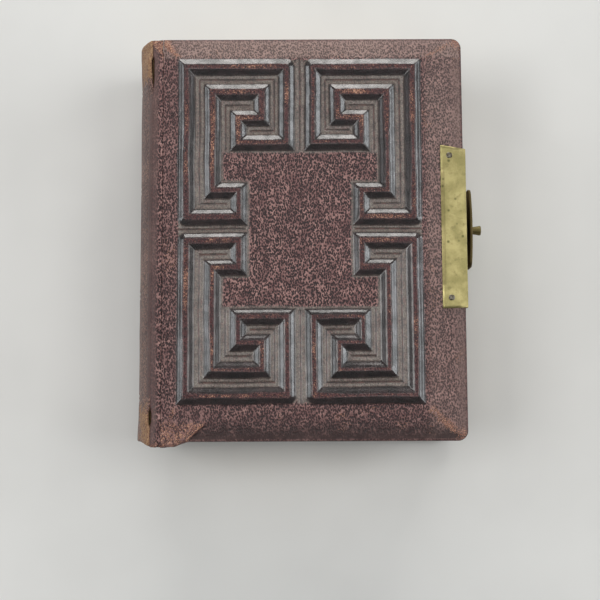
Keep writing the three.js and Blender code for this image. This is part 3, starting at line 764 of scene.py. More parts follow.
def cover_leather(side, finish):
    """One cover's leather: the embossed face, rounded edges, and the turn-in round the inner face."""
    torn = side == "front"
    seed = 3 if torn else 103
    xs = mesh_lines(HINGE_EDGE, FORE_EDGE, panel_marks(0), GRAIN_STEP)
    ys = mesh_lines(-HALF_HEIGHT, HALF_HEIGHT, panel_marks(1), GRAIN_STEP)
    x, y = np.meshgrid(xs, ys)
    x, y = round_corners(x, y, FORE_EDGE, HALF_HEIGHT, CORNER_RADIUS)
    rim = rim_indices(*x.shape)
    edge_x, edge_y = x.ravel()[rim], y.ravel()[rim]
    nx, ny = outward(edge_x, edge_y, HINGE_EDGE, FORE_EDGE, HALF_HEIGHT, CORNER_RADIUS)
    roundness = np.where(nx < -0.5, HINGE_ROUND, EDGE_ROUND)

    # the face stops short of the outline, and the rings below round its edges off
    grid_x = np.clip(x, HINGE_EDGE + HINGE_ROUND, None) - ramp(x, FORE_EDGE - 5, FORE_EDGE) * EDGE_ROUND
    grid_y = y - np.sign(y) * ramp(np.abs(y), HALF_HEIGHT - 5, HALF_HEIGHT) * EDGE_ROUND
    grid_x.ravel()[rim] = edge_x - nx * roundness
    grid_y.ravel()[rim] = edge_y - ny * EDGE_ROUND
    depth, masks = emboss(grid_x, grid_y, seed, torn)
    edge_depth = depth.ravel()[rim]

    def ring(inset, depth):
        inset_y = np.minimum(inset * EDGE_ROUND / roundness, EDGE_ROUND)
        return xyz(edge_x - nx * inset, edge_y - ny * inset_y, depth)

    bends = np.radians([22, 45, 67, 90])
    rings = [ring(roundness * (1 - math.sin(a)), edge_depth + EDGE_ROUND * (1 - math.cos(a)))
             for a in bends]
    rings += [ring(INNER_ROUND * inward, INNER_DEPTH - INNER_ROUND * above)
              for inward, above in ((0, 1), (0.3, 0.3), (1, 0))]
    middle_x = (HINGE_EDGE + FORE_EDGE) / 2
    turn_in = [(0.6, 2.0, 0), (0.8, 5.0, 0), (1.0, TURN_IN_WIDTH, 0),
               (1.05, TURN_IN_WIDTH + 0.1, TURN_IN + 0.05)]
    for hinge_inset, others, above in turn_in:
        low, high = HINGE_EDGE + hinge_inset, FORE_EDGE - others
        scale = (high - low) / (FORE_EDGE - HINGE_EDGE)
        ring_x = (low + high) / 2 + (edge_x - middle_x) * scale
        ring_y = edge_y * (HALF_HEIGHT - others) / HALF_HEIGHT
        rings.append(xyz(ring_x, ring_y, INNER_DEPTH - above))
    points, quads, tris = shell(xyz(grid_x, grid_y, depth), rings)
    if torn:
        points[:, 1] -= fray(points[:, 0], points[:, 1])
    layers = {}
    for name, values in masks.items():
        below = 0.7 if name == "smooth" else 0.0
        rows = [np.full(len(rim), below) for _ in rings]
        if name == "wear":
            rows[:len(bends)] = [values.ravel()[rim] * (1 - 0.2 * i) for i in range(len(bends))]
        layers[name] = np.concatenate([values.ravel(), *rows, [below]])
    body = place((points, quads, tris), side)
    obj = piece(f"{side}_leather_skin", body, finish, [f"{side}_leather"], layers)
    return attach(obj, f"{side}_cover")


def thin_slab(xs, ys, low, high, edge=0.05):
    """A flat sheet with softened edges. low and high give its two faces' z from x and y."""
    x, y = np.meshgrid(xs, ys)
    rim = rim_indices(*x.shape)
    rim_x, rim_y = x.ravel()[rim], y.ravel()[rim]
    x0, x1, y0, y1 = xs[0], xs[-1], ys[0], ys[-1]
    sx = np.where(rim_x <= x0, -1, np.where(rim_x >= x1, 1, 0))
    sy = np.where(rim_y <= y0, -1, np.where(rim_y >= y1, 1, 0))
    upper, lower = high(x, y), low(x, y)
    rim_high, rim_low = upper.ravel()[rim], lower.ravel()[rim]
    rings = []
    for share in (0.72, 0.28):
        z = rim_low + (rim_high - rim_low) * share
        rings.append(xyz(rim_x + sx * edge, rim_y + sy * edge, z))
    return shell(xyz(x, y, upper), rings, xyz(x, y, lower))


def board(side, finish):
    """The millboard under the leather, bevelled like it."""
    xs = np.linspace(HINGE_EDGE + 0.4, FORE_EDGE - LEATHER - 0.05, 24)
    ys = np.linspace(LEATHER + 0.05 - HALF_HEIGHT, HALF_HEIGHT - LEATHER - 0.05, 32)

    def outer(x, y):
        return BOARD_DEPTHS[0] + 0.1 + bevelled(np.maximum(*margin_places(x, y)))

    body = thin_slab(xs, ys, outer, lambda x, y: 0 * x + BOARD_DEPTHS[1])
    points = body[0]
    points[:, 0], points[:, 1] = round_corners(points[:, 0], points[:, 1], FORE_EDGE - LEATHER,
                                               HALF_HEIGHT - LEATHER, CORNER_RADIUS - LEATHER)
    obj = piece(f"{side}_millboard", place(body, side), finish, [f"{side}_board"], sharp=30)
    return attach(obj, f"{side}_cover")


def pastedown(side, finish):
    """The paper over a cover's inner face. The turn-in under it shows as a step."""
    low, high = box_mm(f"{side}_pastedown")
    xs, ys = np.linspace(low[0], high[0], 44), np.linspace(low[1], high[1], 58)
    base = INNER_DEPTH + 0.01

    def surface(x, y):
        sunk = 0.12 * ramp(np.minimum(FORE_EDGE - x, HALF_HEIGHT - np.abs(y)), 7.6, 8.6)
        return base + 0.16 - sunk + 0.02 * noise(x, y, 7, 61)

    body = place(thin_slab(xs, ys, lambda x, y: 0 * x + base - 0.1, surface), side)
    obj = piece(f"{side}_pastedown_sheet", body, finish, [f"{side}_pastedown"], sharp=40)
    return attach(obj, f"{side}_cover")


# ---- spine ----
def parted(y):
    """1 near the front joint's head and tail, where the spine leather has come away from it."""
    at_head = ramp(y, 42.5, 47.5) * (1 - ramp(y, 53.5, 56.0))
    at_tail = ramp(-y, 48, 52) * (1 - ramp(-y, 54.0, 56.5))
    return np.maximum(at_head, at_tail)


def spine_leather(finish):
    """One curved band from shoulder to shoulder, thick at its turned-in head and tail."""
    rings, wears = [], []
    ys = np.linspace(-SPINE_HALF, SPINE_HALF, 340)
    end = 0.5
    turn = np.radians([25, 65, 115, 155])
    past_end = SPINE_HALF + end * np.sin(turn)
    loop_y = np.concatenate([ys, past_end, ys[::-1], -past_end])
    loop_in = np.concatenate([0 * ys, 0.5 - 0.5 * np.cos(turn), 0 * ys + 1, 0.5 + 0.5 * np.cos(turn)])
    for share in np.linspace(-1, 1, 76):
        drop = share * SPINE_REACH
        angle = math.asin(drop / SPINE_RADIUS)
        across = 0 * loop_y + drop
        flare = 0.25 * ramp(np.abs(loop_y), 52, 59)
        flare = flare + 0.6 * ramp(np.abs(loop_y), 44, 52) * ramp(share, 0.2, 0.7)
        creases = 0.05 * noise(loop_y * 0.25, across, 1.4, 51) + 0.08 * noise(loop_y, across, 9, 52)
        for line in SPINE_LINES:
            creases = creases - 0.16 * np.exp(-((np.abs(loop_y) - line) / 0.35) ** 2)
        creases = creases * (loop_in < 0.5) * (1 - ramp(abs(share), 0.78, 0.9))
        lift = 0.75 * parted(loop_y) * ramp(share, 0.6, 0.98)
        radius = SPINE_FACE + lift + flare + creases - loop_in * SPINE_LEATHER
        ring_x = SPINE_CENTRE_X - radius * math.cos(angle)
        ring_z = MID_Z + radius * math.sin(angle)
        hang = fray(ring_x, loop_y) * ramp(share, 0.5, 0.95)
        rings.append(xyz(ring_x, loop_y - hang, ring_z))
        caps = 0.5 * ramp(np.abs(loop_y), 55, 59.5)
        ragged = 5 * rough_noise(loop_y, across, 5, 55)
        strip = 0.95 * ramp(loop_y + ragged, 42.5, 51) * ramp(drop + ragged, 4, 14)
        tail_strip = 0.75 * ramp(ragged - loop_y, 46, 54) * ramp(drop + ragged, 6, 14)
        wears.append(np.maximum(np.maximum(caps, 0.12 + 0.08 * noise(loop_y, across, 12, 54)),
                                np.maximum(strip, tail_strip)))
    body = loft(rings, narrow_from=len(loop_y) - 2)
    obj = piece("spine_leather", body, finish,
                ["spine_leather_lower", "spine_leather_upper"], {"wear": np.concatenate(wears)})
    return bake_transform(obj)


def on_spine(degrees, above):
    """A point (x, depth) just above the spine leather's outer surface."""
    angle, radius = math.radians(degrees), SPINE_FACE + above
    return SPINE_CENTRE_X - radius * math.cos(angle), MID_Z - radius * math.sin(angle)


def joint_leather(side, finish):
    """The leather from over the spine's edge, down through the groove and up to the cover."""
    edge, front = RELIEF + BEVEL, side == "front"
    outer = [on_spine(angle, above) for angle, above in ((30.4, 0.05), (32, 0.12), (34.2, 0.14))]
    outer += [(x, edge + below) for x, below in (
        (-46.55, 0.62), (-46.25, 0.38), (-45.85, 0.26), (-45.4, 0.24), (-44.9, 0.24), (-44.4, 0.18),
        (-43.95, 0.06), (-43.6, 0), (-43.42, 0.01))]
    inner = [on_spine(angle, 0.02) for angle in (30.4, 32, 34.2)]
    inner += [(x, edge + below) for x, below in (
        (-46.5, 0.72), (-46.15, 0.72), (-45.85, 0.75), (-45.4, 0.75), (-44.9, 0.75), (-44.4, 0.72),
        (-43.95, 0.65), (-43.6, 0.6), (-43.45, 0.55))]
    flat_x, level = np.array(outer + inner[::-1]).T
    sunk_level = edge + np.repeat([0.6, 0.95], len(outer))
    loose = ramp(flat_x, -47.2, -46.3) * (1 - ramp(flat_x, -44.0, -43.5))
    facing = np.repeat([1, -1], len(outer)) * loose
    half = HALF_HEIGHT - 0.2
    rings, wears, smooths = [], [], []
    for y in np.concatenate([np.linspace(-half, -half + 1, 6), np.linspace(1.3 - half, half - 1.3, 130),
                             np.linspace(half - 1, half, 6)]):
        end = 1 - math.sqrt(max(0.0, 1 - max(0.0, (abs(y) - half + 0.7) / 0.7) ** 2))
        drawn_back = ramp(-flat_x, 45.9, 46.3) * (float(parted(y)) if front else 0.0)
        x = flat_x + drawn_back * (-46.15 - 0.05 * (flat_x + 46) - flat_x)
        depth = level + drawn_back * (sunk_level - level)
        depth = depth + 0.09 * loose * noise(flat_x * 2, y, 8, 82) + 0.22 * end * facing
        rings.append(xyz(x, y - (fray(x, y) if front else 0), depth))
        worn_head = 0.9 * ramp(y + 1.5 * (x + 45), 54.5, 57) if front else 0
        worn_ends = 0.12 + 0.1 * noise(x, y, 6, 84) + 0.6 * ramp(abs(y), 57, 59.8)
        wears.append(np.maximum(worn_ends, worn_head))
        smooths.append(1 - ramp(x + 0.3 * noise(x, y, 3, 85), -45.3, -44.2))
    body = place(loft(rings), side)
    layers = {"wear": np.concatenate([*wears, [0.5, 0.5]]), "smooth": np.concatenate([*smooths, [1, 1]])}
    for name in ("top", "slope", "floor", "line", "painted_light", "margin", "shade"):
        layers[name] = np.zeros(len(body[0]))
    obj = piece(f"{side}_joint_skin", body, finish, [f"{side}_joint_leather"], layers)
    if front:
        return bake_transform(obj)
    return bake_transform(obj)


# ---- text block ----
def fold_x(z):
    return SPINE_CENTRE_X - np.sqrt(FOLD_RADIUS**2 - (z - MID_Z) ** 2)


LEAF_WIDTH = box_mm("section_01")[1][0] - fold_x(BLOCK_Z0)


def edge_layer(face, rings):
    """1 on the rings round a stack of leaves, 0 on its two faces, from how many points each has."""
    return {"edge": np.concatenate([np.zeros(face), np.ones(rings), np.zeros(face)])}


def section(number, finish):
    """One folded section: a stack of leaves with fine steps at their edges and a rounded fold."""
    name = f"section_{number:02d}"
    z0, z1 = [corner[2] for corner in box_mm(name)]
    middle, half = (z0 + z1) / 2, (z1 - z0) / 2
    xs = np.concatenate([np.linspace(0, LEAF_WIDTH - 3, 16), np.linspace(LEAF_WIDTH - 2.5, LEAF_WIDTH, 4)])
    ys = np.linspace(-BLOCK_HALF, BLOCK_HALF, 44)
    x, y = np.meshgrid(xs, ys)
    rim = rim_indices(*x.shape)
    rim_x, rim_y = x.ravel()[rim], y.ravel()[rim]
    at_fore = rim_x > LEAF_WIDTH - TINY
    at_end = np.abs(rim_y) > BLOCK_HALF - TINY
    at_fold = rim_x < TINY

    def edge(z, inset, seed):
        ragged = 0.05 * noise(rim_x + rim_y, seed, 3, 7 * number + seed) - 0.05
        px = rim_x + at_fore * (ragged - inset) + fold_x(z)
        px = px + at_fold * 0.5 * (1 - math.sqrt(max(0.0, 1 - ((z - middle) / half) ** 2)))
        py = rim_y + np.sign(rim_y) * at_end * (ragged - inset)
        return xyz(px, py, z)

    step = (z1 - z0) / LEAVES_PER_SECTION
    rings = []
    for leaf in range(LEAVES_PER_SECTION - 1, -1, -1):
        jut = 0.05 * noise(leaf * 1.7, number * 2.3, 1.0, 91)
        for share, inset in ((0.94, 0.02), (0.5, -0.02), (0.06, 0.02)):
            rings.append(edge(z0 + (leaf + share) * step, inset + jut, leaf))
        if leaf:
            rings.append(edge(z0 + leaf * step, 0.13, 30 + leaf))
    top, bottom = [xyz(x + fold_x(z) + (x < TINY) * 0.5 - (x > LEAF_WIDTH - TINY) * 0.06, y, z)
                   for z in (z1, z0)]
    obj = piece(f"{name}_leaves", shell(top, rings, bottom), finish, [name],
                edge_layer(x.size, len(rings) * len(rim)), sharp=50)
    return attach(obj, "back_half" if number <= SECTIONS else "front_half")


def single_leaf(node, finish, curl_reach, lines, wave, seed):
    """A flat leaf and where its fold is. Its mesh lines are closer over curl_reach beside the fold."""
    low, high = box_mm(node)
    fine_end = low[0] + curl_reach
    xs = np.concatenate([np.linspace(low[0], fine_end, lines[0]),
                         np.linspace(fine_end + 1, high[0], lines[1])])
    ys = np.linspace(low[1], high[1], 40)

    def face(z):
        return lambda x, y: z + 0.02 * noise(x, y, wave, seed)

    body = thin_slab(xs, ys, face(low[2]), face(high[2]), 0.02)
    size = len(xs) * len(ys)
    layers = edge_layer(size, len(body[0]) - 2 * size)
    return piece(f"{node}_page", body, finish, [node], layers, sharp=60), low[0]


def middle_leaf(number, finish):
    obj, fold = single_leaf(f"middle_leaf_{number}", finish, 16, (40, 46), 14, 200)
    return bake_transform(obj)


def flyleaf(side, finish):
    obj, fold = single_leaf(f"{side}_flyleaf", finish, 14, (36, 44), 15, 210)
    if side == "front":
        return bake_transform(obj)
    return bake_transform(obj)


def headband(node, body_name, finish):
    """A roll wound with two colours of silk, along the folds at one end of half the text block."""
    low, high = box_mm(node)
    radius, y = (high[1] - low[1]) / 2, (low[1] + high[1]) / 2
    path_radius = FOLD_RADIUS - radius - 0.1
    around = circle(14)[:, :2]
    rings, stripes = [], []
    for z in np.linspace(low[2] + 0.35, high[2] - 0.35, 190):
        sine = (z - MID_Z) / path_radius
        cosine = math.sqrt(1 - sine**2)
        centre = np.array([SPINE_CENTRE_X - path_radius * cosine, y, z])
        across = np.array([[-cosine, 0, sine], [0, 1, 0]])
        wound = radius * (0.88 + 0.1 * abs(math.sin(z * math.pi / 0.42)))
        rings.append(centre + wound * (around @ across))
        stripes.append(np.full(len(around), float(int(z / 1.26) % 2)))
    stripe = np.concatenate([*stripes, [0, 0]])
    obj = piece(f"{node}_silk", loft(rings), finish, [node], {"stripe": stripe})
    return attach(obj, body_name)


# ---- clasp ----
def margin_slope(x):
    """Depth of the fore-edge margin's surface."""
    return RELIEF + bevelled((x - PANEL_CENTRE[0] - PANEL_HALF[0]) / MARGINS["fore"])


def angle_plate(drop):
    """The brass plate on a cover's margin, folded down over the fore-edge, as depths."""
    outer_x, near = PLATE_HIGH[0], PLATE_X0
    inner_x = outer_x - BRASS
    surface, edge = margin_slope(near) - BRASS, margin_slope(inner_x) - BRASS
    bend = 0.22
    rings, dark = [], []
    ends = np.array([0.98, 0.99, 0.997, 1])
    shares = np.concatenate([-ends[::-1], np.linspace(-0.96, 0.96, 93), ends])
    for share in shares:
        # the long inner edge has a wide chamfer that stops short of the plate's ends
        stopped = ramp(abs(share), 0.66, 0.69)
        chamfer = 1.05 - 0.5 * stopped
        sunk = 0.42 - 0.16 * stopped
        level = [(near, surface + 0.5), (near + 0.02, surface + sunk + 0.03),
                 (near + 0.1, surface + sunk), (near + chamfer, surface + 0.02),
                 (near + chamfer + 0.12, surface + 0.005)]
        level += [(near + 1.3 + (outer_x - bend - near - 1.3) * s, surface + (edge - surface) * s)
                  for s in (0.0, 0.15, 0.3, 0.45, 0.6, 0.75, 0.9, 0.985, 1.0)]
        level += [(outer_x - bend + bend * math.sin(a), edge + bend * (1 - math.cos(a)))
                  for a in np.radians([12, 30, 50, 70, 86])]
        level += [(outer_x, edge + 0.9), (outer_x, drop - 0.12), (outer_x - 0.12, drop), (inner_x, drop),
                  (inner_x, edge + BRASS + 0.1)]
        level += [(inner_x - (inner_x - near) * s, edge + BRASS + (surface - edge) * s)
                  for s in (0.05, 0.5)]
        level = np.array(level)
        slant = PLATE_SLANT if share > 0 else 0.3
        reach = PLATE_HALF - slant * np.clip((level[:, 0] - near) / (outer_x - near), 0, 1)
        rounding = 0.2 * ramp(abs(share), 0.975, 1.0) ** 2
        level[:, 1] += rounding * (level[:, 1] < surface + 0.45)
        dents = 0.03 * noise(level[:, 0], share * 24, 4.5, 301)
        rings.append(xyz(level[:, 0], CLASP_Y + share * reach, level[:, 1] + dents))
        # tarnish in the chamfer and at its stops; painted shade on the face turned down over the fore-edge
        # and on the underside
        stop = np.exp(-((abs(share) - 0.7) / 0.012) ** 2) * (level[:, 0] < near + 1.3)
        stop = np.maximum(stop, 0.5 * (1 - stopped) * (level[:, 0] < near + chamfer + 0.01))
        under = np.arange(len(level)) >= len(level) - 3
        dark.append(np.maximum(0.6 * stop, np.maximum(0.55 * (level[:, 1] > edge + 0.85), 0.9 * under)))
    corner = np.array([outer_x - BRASS / 2, 0, edge + BRASS / 2])
    edges = [rings[i][0, 1] for i in (0, -1)]
    centres = [corner + [0, y - math.copysign(slant, y - CLASP_Y), 0] for y in edges]
    return loft(rings, centres), np.concatenate([*dark, [0.2, 0.2]])


def frame_plate(outer, inner, x0, x1):
    """A flat frame with soft edges between two equal loops of (y, z) points, from x0 to x1."""
    soft = 0.1
    loops = []
    for loop, sign, x in ((outer, -1, x1), (outer, 0, x1 - soft), (outer, 0, x0 + soft), (outer, -1, x0),
                          (inner, 1, x0), (inner, 0, x0 + soft), (inner, 0, x1 - soft), (inner, 1, x1)):
        centre = loop.mean(0)
        reach = loop - centre
        points = loop + sign * soft * reach / np.maximum(np.abs(reach).max(1, keepdims=True), TINY)
        loops.append(xyz(x, points[:, 0], points[:, 1]))
    return round_hole(loops)


def rounded_rectangle(centre, half, radius):
    """Points evenly round a rectangle with rounded corners."""
    count = 48
    angles = np.arange(count) * 2 * math.pi / count + math.pi / count
    box = np.array([np.cos(angles), np.sin(angles)]).T
    box = box / np.abs(box).max(1, keepdims=True) * half
    inner = np.clip(box, -(np.array(half) - radius), np.array(half) - radius)
    out = box - inner
    length = np.maximum(np.linalg.norm(out, axis=1, keepdims=True), 1e-9)
    return centre + inner + out / length * radius


def keeper(finish):
    """The front cover's plate, with the slotted tab that its folded edge holds."""
    sheet, dark = angle_plate(THICKNESS - TAB_Z[1] + 0.4)
    tab_top = TAB_Z[1] + 0.6
    tab_middle, slot_middle = (TAB_Z[0] + tab_top) / 2, (SLOT_Z[0] + SLOT_Z[1]) / 2
    tab_half = TAB_HALF, (tab_top - TAB_Z[0]) / 2
    slot_half = SLOT_HALF, (SLOT_Z[1] - SLOT_Z[0]) / 2
    outer = rounded_rectangle(np.array([CLASP_Y, tab_middle]), tab_half, 1.0)
    inner = rounded_rectangle(np.array([CLASP_Y, slot_middle]), slot_half, 0.4)
    tab = frame_plate(outer, inner, FORE_EDGE + 0.02, FORE_EDGE + BRASS - 0.02)
    dark = np.concatenate([dark, np.full(len(tab[0]), 0.45)])
    obj = piece("keeper_plate_brass", joined(place(sheet, "front"), tab), finish,
                ["keeper_plate"], {"tarnish_and_shade": dark}, sharp=32)
    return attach(obj, "front_cover")


def curl(path, y0, y1, thickness):
    """A strip of sheet that follows a path of (x, z) points, from y0 to y1."""
    path = np.array(path)
    along = np.gradient(path, axis=0)
    along /= np.linalg.norm(along, axis=1, keepdims=True)
    normal = np.stack([-along[:, 1], along[:, 0]], axis=1) * thickness / 2
    section_points = np.concatenate([path + normal, (path - normal)[::-1]])
    soft = 0.12
    rings = []
    for y, shrink in ((y0, soft), (y0 + soft, 0), (y1 - soft, 0), (y1, soft)):
        inset = np.concatenate([-normal, normal[::-1]]) * (2 * shrink / thickness)
        points = section_points + inset
        rings.append(xyz(points[:, 0], y, points[:, 1]))
    return loft(rings, narrow_from=0)


def knuckle_path(start, turn_from, turn_to):
    """From a sheet's edge, then round the hinge pin."""
    radius = (BARREL + PIN + PIN_GAP) / 2
    angles = np.radians(np.linspace(turn_from, turn_to, 22))
    return [*start, *[(HINGE_X + radius * math.cos(a), HINGE_Z + radius * math.sin(a)) for a in angles]]


def knuckled(sheet, dark, places, path):
    """A sheet joined to its knuckles at these places on the pin, with each point's tarnish and painted
    shade.
    """
    barrels = []
    for at in places:
        y0 = CLASP_Y + at * KNUCKLE_PITCH - KNUCKLE / 2
        barrels.append(curl(path, y0, y0 + KNUCKLE, BARREL - PIN - PIN_GAP))
    return joined(sheet, *barrels), np.concatenate([dark, *[np.full(len(b[0]), 0.3) for b in barrels]])


def hinge_plate(finish):
    """The back cover's plate, with three knuckles on the hinge pin."""
    strap_x = FORE_EDGE + BRASS / 2
    path = knuckle_path([(strap_x, 3.4), (strap_x, 4.6), (strap_x - 0.02, 5.2)], 180, -140)
    body, dark = knuckled(*angle_plate(INNER_DEPTH), (-2, 0, 2), path)
    obj = piece("hinge_plate_brass", body, finish, ["hinge_plate"], {"tarnish_and_shade": dark}, sharp=32)
    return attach(obj, "back_cover")


def hasp(finish):
    """The bowed plate of the clasp, with waisted sides and rounded upper corners."""
    z0, z1 = HASP_Z
    corner = 1.8
    heights = np.concatenate([np.linspace(z0, z1 - corner, 34), z1 - corner + corner * np.sin(
        np.radians(np.linspace(8, 90, 12)))])
    up = np.clip((heights - z0) / (z1 - 5 - z0), 0, 1)
    half = HASP_HALF - 0.4 * (1 - up) - 1.3 * np.sin(math.pi * up) ** 2
    over = np.clip(heights - (z1 - corner), 0, corner)
    half = half - corner + np.sqrt(np.maximum(corner**2 - over**2, 0))
    shares = np.linspace(-1, 1, 49)
    y = half[:, None] * shares[None, :]
    bow = HASP_BOW * (1 - 0.5 * (y / HASP_HALF) ** 2)
    outer = xyz(HASP_X0 + bow + HASP_SHEET, CLASP_Y + y, heights[:, None])
    inner = outer - [HASP_SHEET, 0, 0]
    rim = rim_indices(*y.shape)
    soft = 0.22
    middle = np.array([0, CLASP_Y, (z0 + z1) / 2])
    edge = outer.reshape(-1, 3)[rim]
    pull = (edge - middle) * [0, 1, 1]
    pull /= np.linalg.norm(pull, axis=1, keepdims=True)
    rings = [edge + pull * soft * out - [into, 0, 0]
             for into, out in ((0.06, 0.6), (0.2, 0.95), (0.6, 0.95), (0.74, 0.6))]
    sheet = shell(outer, rings, inner)
    # painted shade on the hasp's edges and inner face; the outer face is only lightly tarnished
    dark = np.concatenate([np.full(outer[..., 0].size, 0.15), np.full(len(rings) * len(edge), 0.85),
                           np.full(inner[..., 0].size, 0.8)])
    strap = [(HINGE_X + 1.25, z0 + 0.6), (HINGE_X + 1.15, z0 - 0.1), (HINGE_X + 0.98, z0 - 0.7)]
    body, dark = knuckled(sheet, dark, (-1, 1), knuckle_path(strap, 20, -290))
    obj = piece("hasp_plate_brass", body, finish, ["hasp_plate"], {"tarnish_and_shade": dark}, sharp=35)
    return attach(obj, "hasp")


def turned_brass(node, body, z, finish, sharp=50):
    """A turned piece laid along +X on the hasp, duller towards its foot."""
    body = moved(body, (HASP_X0, CLASP_Y, z), (2, 0, 1))
    x = body[0][:, 0]
    tarnish_and_shade = 0.5 + 0.3 * (1 - ramp(x, x.min(), x.max()))
    obj = piece(f"{node}_brass", body, finish, [node], {"tarnish_and_shade": tarnish_and_shade}, sharp=sharp)
    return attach(obj, "hasp")


def knob(finish):
    """A shank through the hasp, a collar, a neck that widens and a beaded head."""
    tip = KNOB_TIP_X - HASP_X0
    inside = [(0, 0.52), (0.75, 0.54), (1.0, 0.66), (1.1, 0.77), (0.5, 0.78)]
    neck = [(0.5, 0.28), (1.12, 0.3), (1.2, 0.36), (1.2, 0.5), (1.1, 0.62), (1.14, 0.85), (1.19, 1.2),
            (1.25, 1.6), (1.32, 2.0)]
    head = [(1.38, 0.75), (1.45, 0.6), (1.45, 0.5), (1.36, 0.44), (1.36, 0.38), (1.44, 0.32), (1.44, 0.2),
            (1.3, 0.06), (1.0, 0), (0.5, 0.04), (0, 0.06)]
    profile = [*inside, *[(r, HASP_FACE + z) for r, z in neck], *[(r, tip - z) for r, z in head]]
    return turned_brass("knob", turned(profile, 40), KNOB_Z, finish)


def knob_washer(finish):
    profile = [(0.58, 0), (1.56, -0.02), (1.6, 0.05), (1.55, 0.18), (1.4, 0.26), (0.8, 0.3), (0.58, 0.28)]
    body = round_hole([circle(40) * r + [0, 0, HASP_FACE + z] for r, z in profile])
    return turned_brass("knob_washer", body, KNOB_Z, finish)


def spring_rivet(finish):
    inner = HASP_BOW - 0.4
    profile = [(r, inner + z) for r, z in ((0, -0.26), (0.5, -0.24), (0.85, -0.08), (0.9, 0), (0.5, 0))]
    profile += [(r, HASP_FACE + z) for r, z in ((0.5, 0), (0.92, 0), (0.9, 0.08), (0.7, 0.2), (0.35, 0.29),
                                                (0, 0.31))]
    return turned_brass("spring_rivet", turned(profile, 28), RIVET_Z, finish, sharp=60)


def nail(node, side, body_name, finish):
    """A domed nail head in a shallow dimple, with its shank in the board."""
    low, high = box_mm(node)
    centre = (low + high) / 2
    head = margin_slope(NAIL_X) - BRASS
    profile = [(0, 3.2), (0.18, 2.7), (0.4, 2.2), (0.42, 0.1), (1.1, 0.05), (1.14, 0.0), (1.06, -0.04),
               (0.92, -0.03), (0.86, -0.12), (0.66, -0.21), (0.4, -0.27), (0.2, -0.3), (0, -0.3)]
    body = place(moved(turned(profile, 24), (centre[0], centre[1], head)), side)
    obj = piece(f"{node}_steel", body, finish, [node], sharp=60)
    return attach(obj, body_name)


def hinge_pin(finish):
    """The pin along Y through both plates' knuckles, with a small head at each end."""
    low, high = box_mm("hinge_pin")
    half = (high[1] - low[1]) / 2
    head = [(0, 0), (0.4, 0.02), (0.72, 0.12), (0.76, 0.3), (PIN, 0.31)]
    profile = [(r, z - half) for r, z in head]
    profile += [(r, -z) for r, z in reversed(profile)]
    body = moved(turned(profile, 24), (HINGE_X, (low[1] + high[1]) / 2, HINGE_Z), (0, 2, 1))
    obj = piece("hinge_pin_steel", body, finish, ["hinge_pin"], sharp=60)
    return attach(obj, "back_cover")


# ---- camera, light, floor ----
def camera():
    """From almost straight above, like the photo."""
    data = bpy.data.cameras.new("camera")
    data.lens, data.sensor_width = 72, 36
    obj = bpy.data.objects.new("camera", data)
    obj.location = (-0.0038, -0.058, 0.3849)
    obj.rotation_euler = [math.radians(a) for a in (6.4, -0.13, -0.26)]
    bpy.context.scene.collection.objects.link(obj)
    bpy.context.scene.camera = obj


def window(name, place_m, size, power, color):
    """A soft light like a window, facing the book."""
    data = bpy.data.lights.new(name, "AREA")
    data.shape = "RECTANGLE"
    data.size, data.size_y = size
    data.energy, data.color = power, color
    obj = bpy.data.objects.new(name, data)
    obj.location = place_m
    aim = Vector((0, 0, 0.02)) - Vector(place_m)
    obj.rotation_euler = aim.to_track_quat("-Z", "Y").to_euler()
    bpy.context.scene.collection.objects.link(obj)


def lighting():
    """Warm daylight from the head, cool strips at the sides, a soft ceiling and a low fill."""
    cool, plain = (0.92, 0.97, 1.0), (1.0, 0.99, 0.97)
    window("head_window", (0.03, 1.1, 0.4), (0.9, 0.42), 8.4, (1.0, 0.975, 0.94))
    window("left_window", (-1.1, 0.1, 0.71), (1.1, 0.2), 3.2, cool)
    window("right_window", (1.1, 0.14, 0.71), (1.1, 0.2), 4.2, cool)
    window("left_shoulder", (-0.75, 0.0, 1.07), (0.5, 0.5), 3.6, plain)
    window("right_shoulder", (0.75, 0.1, 1.07), (0.5, 0.5), 2.6, plain)
    window("ceiling", (0, 0.1, 1.3), (0.8, 0.8), 2.8, plain)
    window("low_fill", (0, -1.3, 0.2), (1.4, 0.28), 1.2, (1.0, 0.98, 0.96))
    world = bpy.data.worlds.new("room")
    world.use_nodes = True
    nodes, links = world.node_tree.nodes, world.node_tree.links
    dim, pale = nodes["Background"], nodes.new("ShaderNodeBackground")
    dim.inputs["Color"].default_value = (*plain, 1)
    dim.inputs["Strength"].default_value = 0.1
    pale.inputs["Color"].default_value = (0.72, 0.72, 0.71, 1)
    # the room behind the table is pale to look at and dim in reflections
    choice = nodes.new("ShaderNodeMixShader")
    links.new(nodes.new("ShaderNodeLightPath").outputs["Is Camera Ray"], choice.inputs[0])
    links.new(dim.outputs[0], choice.inputs[1])
    links.new(pale.outputs[0], choice.inputs[2])
    links.new(choice.outputs[0], nodes["World Output"].inputs[0])
    bpy.context.scene.world = world
    bpy.context.scene.view_settings.view_transform = "Standard"


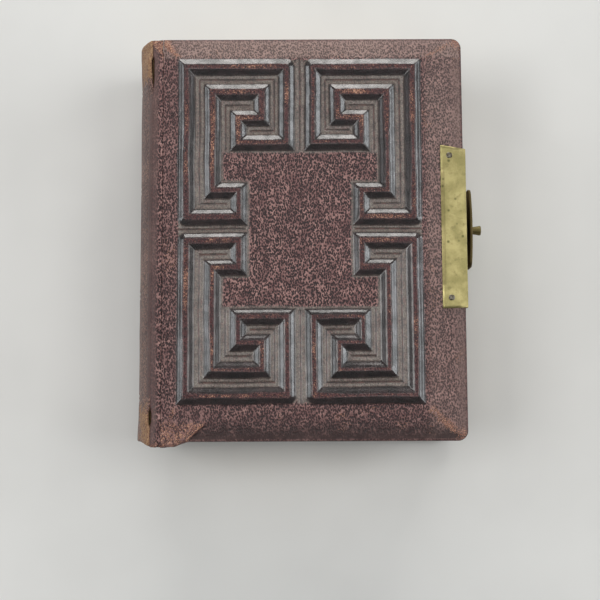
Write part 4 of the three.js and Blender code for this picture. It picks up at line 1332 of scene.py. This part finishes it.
def floor():
    f = Finish("pale_table", rest=False)
    tone = f.noise(60.0, detail=3.0)
    material = f.finish(f.mix(f.ramp(tone, 0.3, 0.7), (228, 228, 226), (222, 222, 220)), 0.6)
    size = 1.2  # metres from the middle to each edge
    mesh = bpy.data.meshes.new("table")
    corners = [(x * size, y * size, 0) for x, y in ((-1, -1), (1, -1), (1, 1), (-1, 1))]
    mesh.from_pydata(corners, [], [(0, 1, 2, 3)])
    mesh.materials.append(material)
    obj = bpy.data.objects.new("table", mesh)
    bpy.context.scene.collection.objects.link(obj)


# ---- the book ----
def recolour(node, material):
    """A finish for a piece that is shown with its CAD shape."""
    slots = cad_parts[node].data.materials
    slots.clear()
    slots.append(material)


camera()
floor()
lighting()

leather, smooth_leather = cover_leather_finish(), spine_leather_finish()
page = leaf_finish("page_paper", (226, 212, 178), (210, 190, 150))
endpaper = leaf_finish("endpaper", (214, 198, 162), (194, 172, 132))
brass, steel, silk = brass_finish(), steel_finish(), silk_finish()
millboard = plain_fibre_finish("millboard", (146, 122, 88), (112, 92, 66))
for side in ("back", "front"):
    cover_leather(side, leather)
    board(side, millboard)
    pastedown(side, endpaper)
    joint_leather(side, leather)
    flyleaf(side, endpaper)
spine_leather(smooth_leather)
for number in range(1, 2 * SECTIONS + 1):
    section(number, page)
for number in range(1, 5):
    middle_leaf(number, page)
for end in ("headband", "tailband"):
    headband(f"{end}_lower", "back_half", silk)
    headband(f"{end}_upper", "front_half", silk)
keeper(brass)
hinge_plate(brass)
hasp(brass)
knob(brass)
knob_washer(brass)
spring_rivet(brass)
hinge_pin(steel)
for i in (1, 2):
    nail(f"keeper_nail_{i}", "front", "front_cover", steel)
    nail(f"hinge_plate_nail_{i}", "back", "back_cover", steel)

recolour("catch_spring", steel_finish("spring_steel", rest=False))
lining = plain_fibre_finish("spine_lining", (168, 146, 108), (138, 116, 82))
cordage = plain_fibre_finish("sewing_cord", (190, 174, 134), (150, 130, 94), 0.25)
for half in ("lower", "upper"):
    recolour(f"spine_lining_{half}", lining)
    for i in (1, 2, 3):
        recolour(f"sewing_cord_{half}_{i}", cordage)
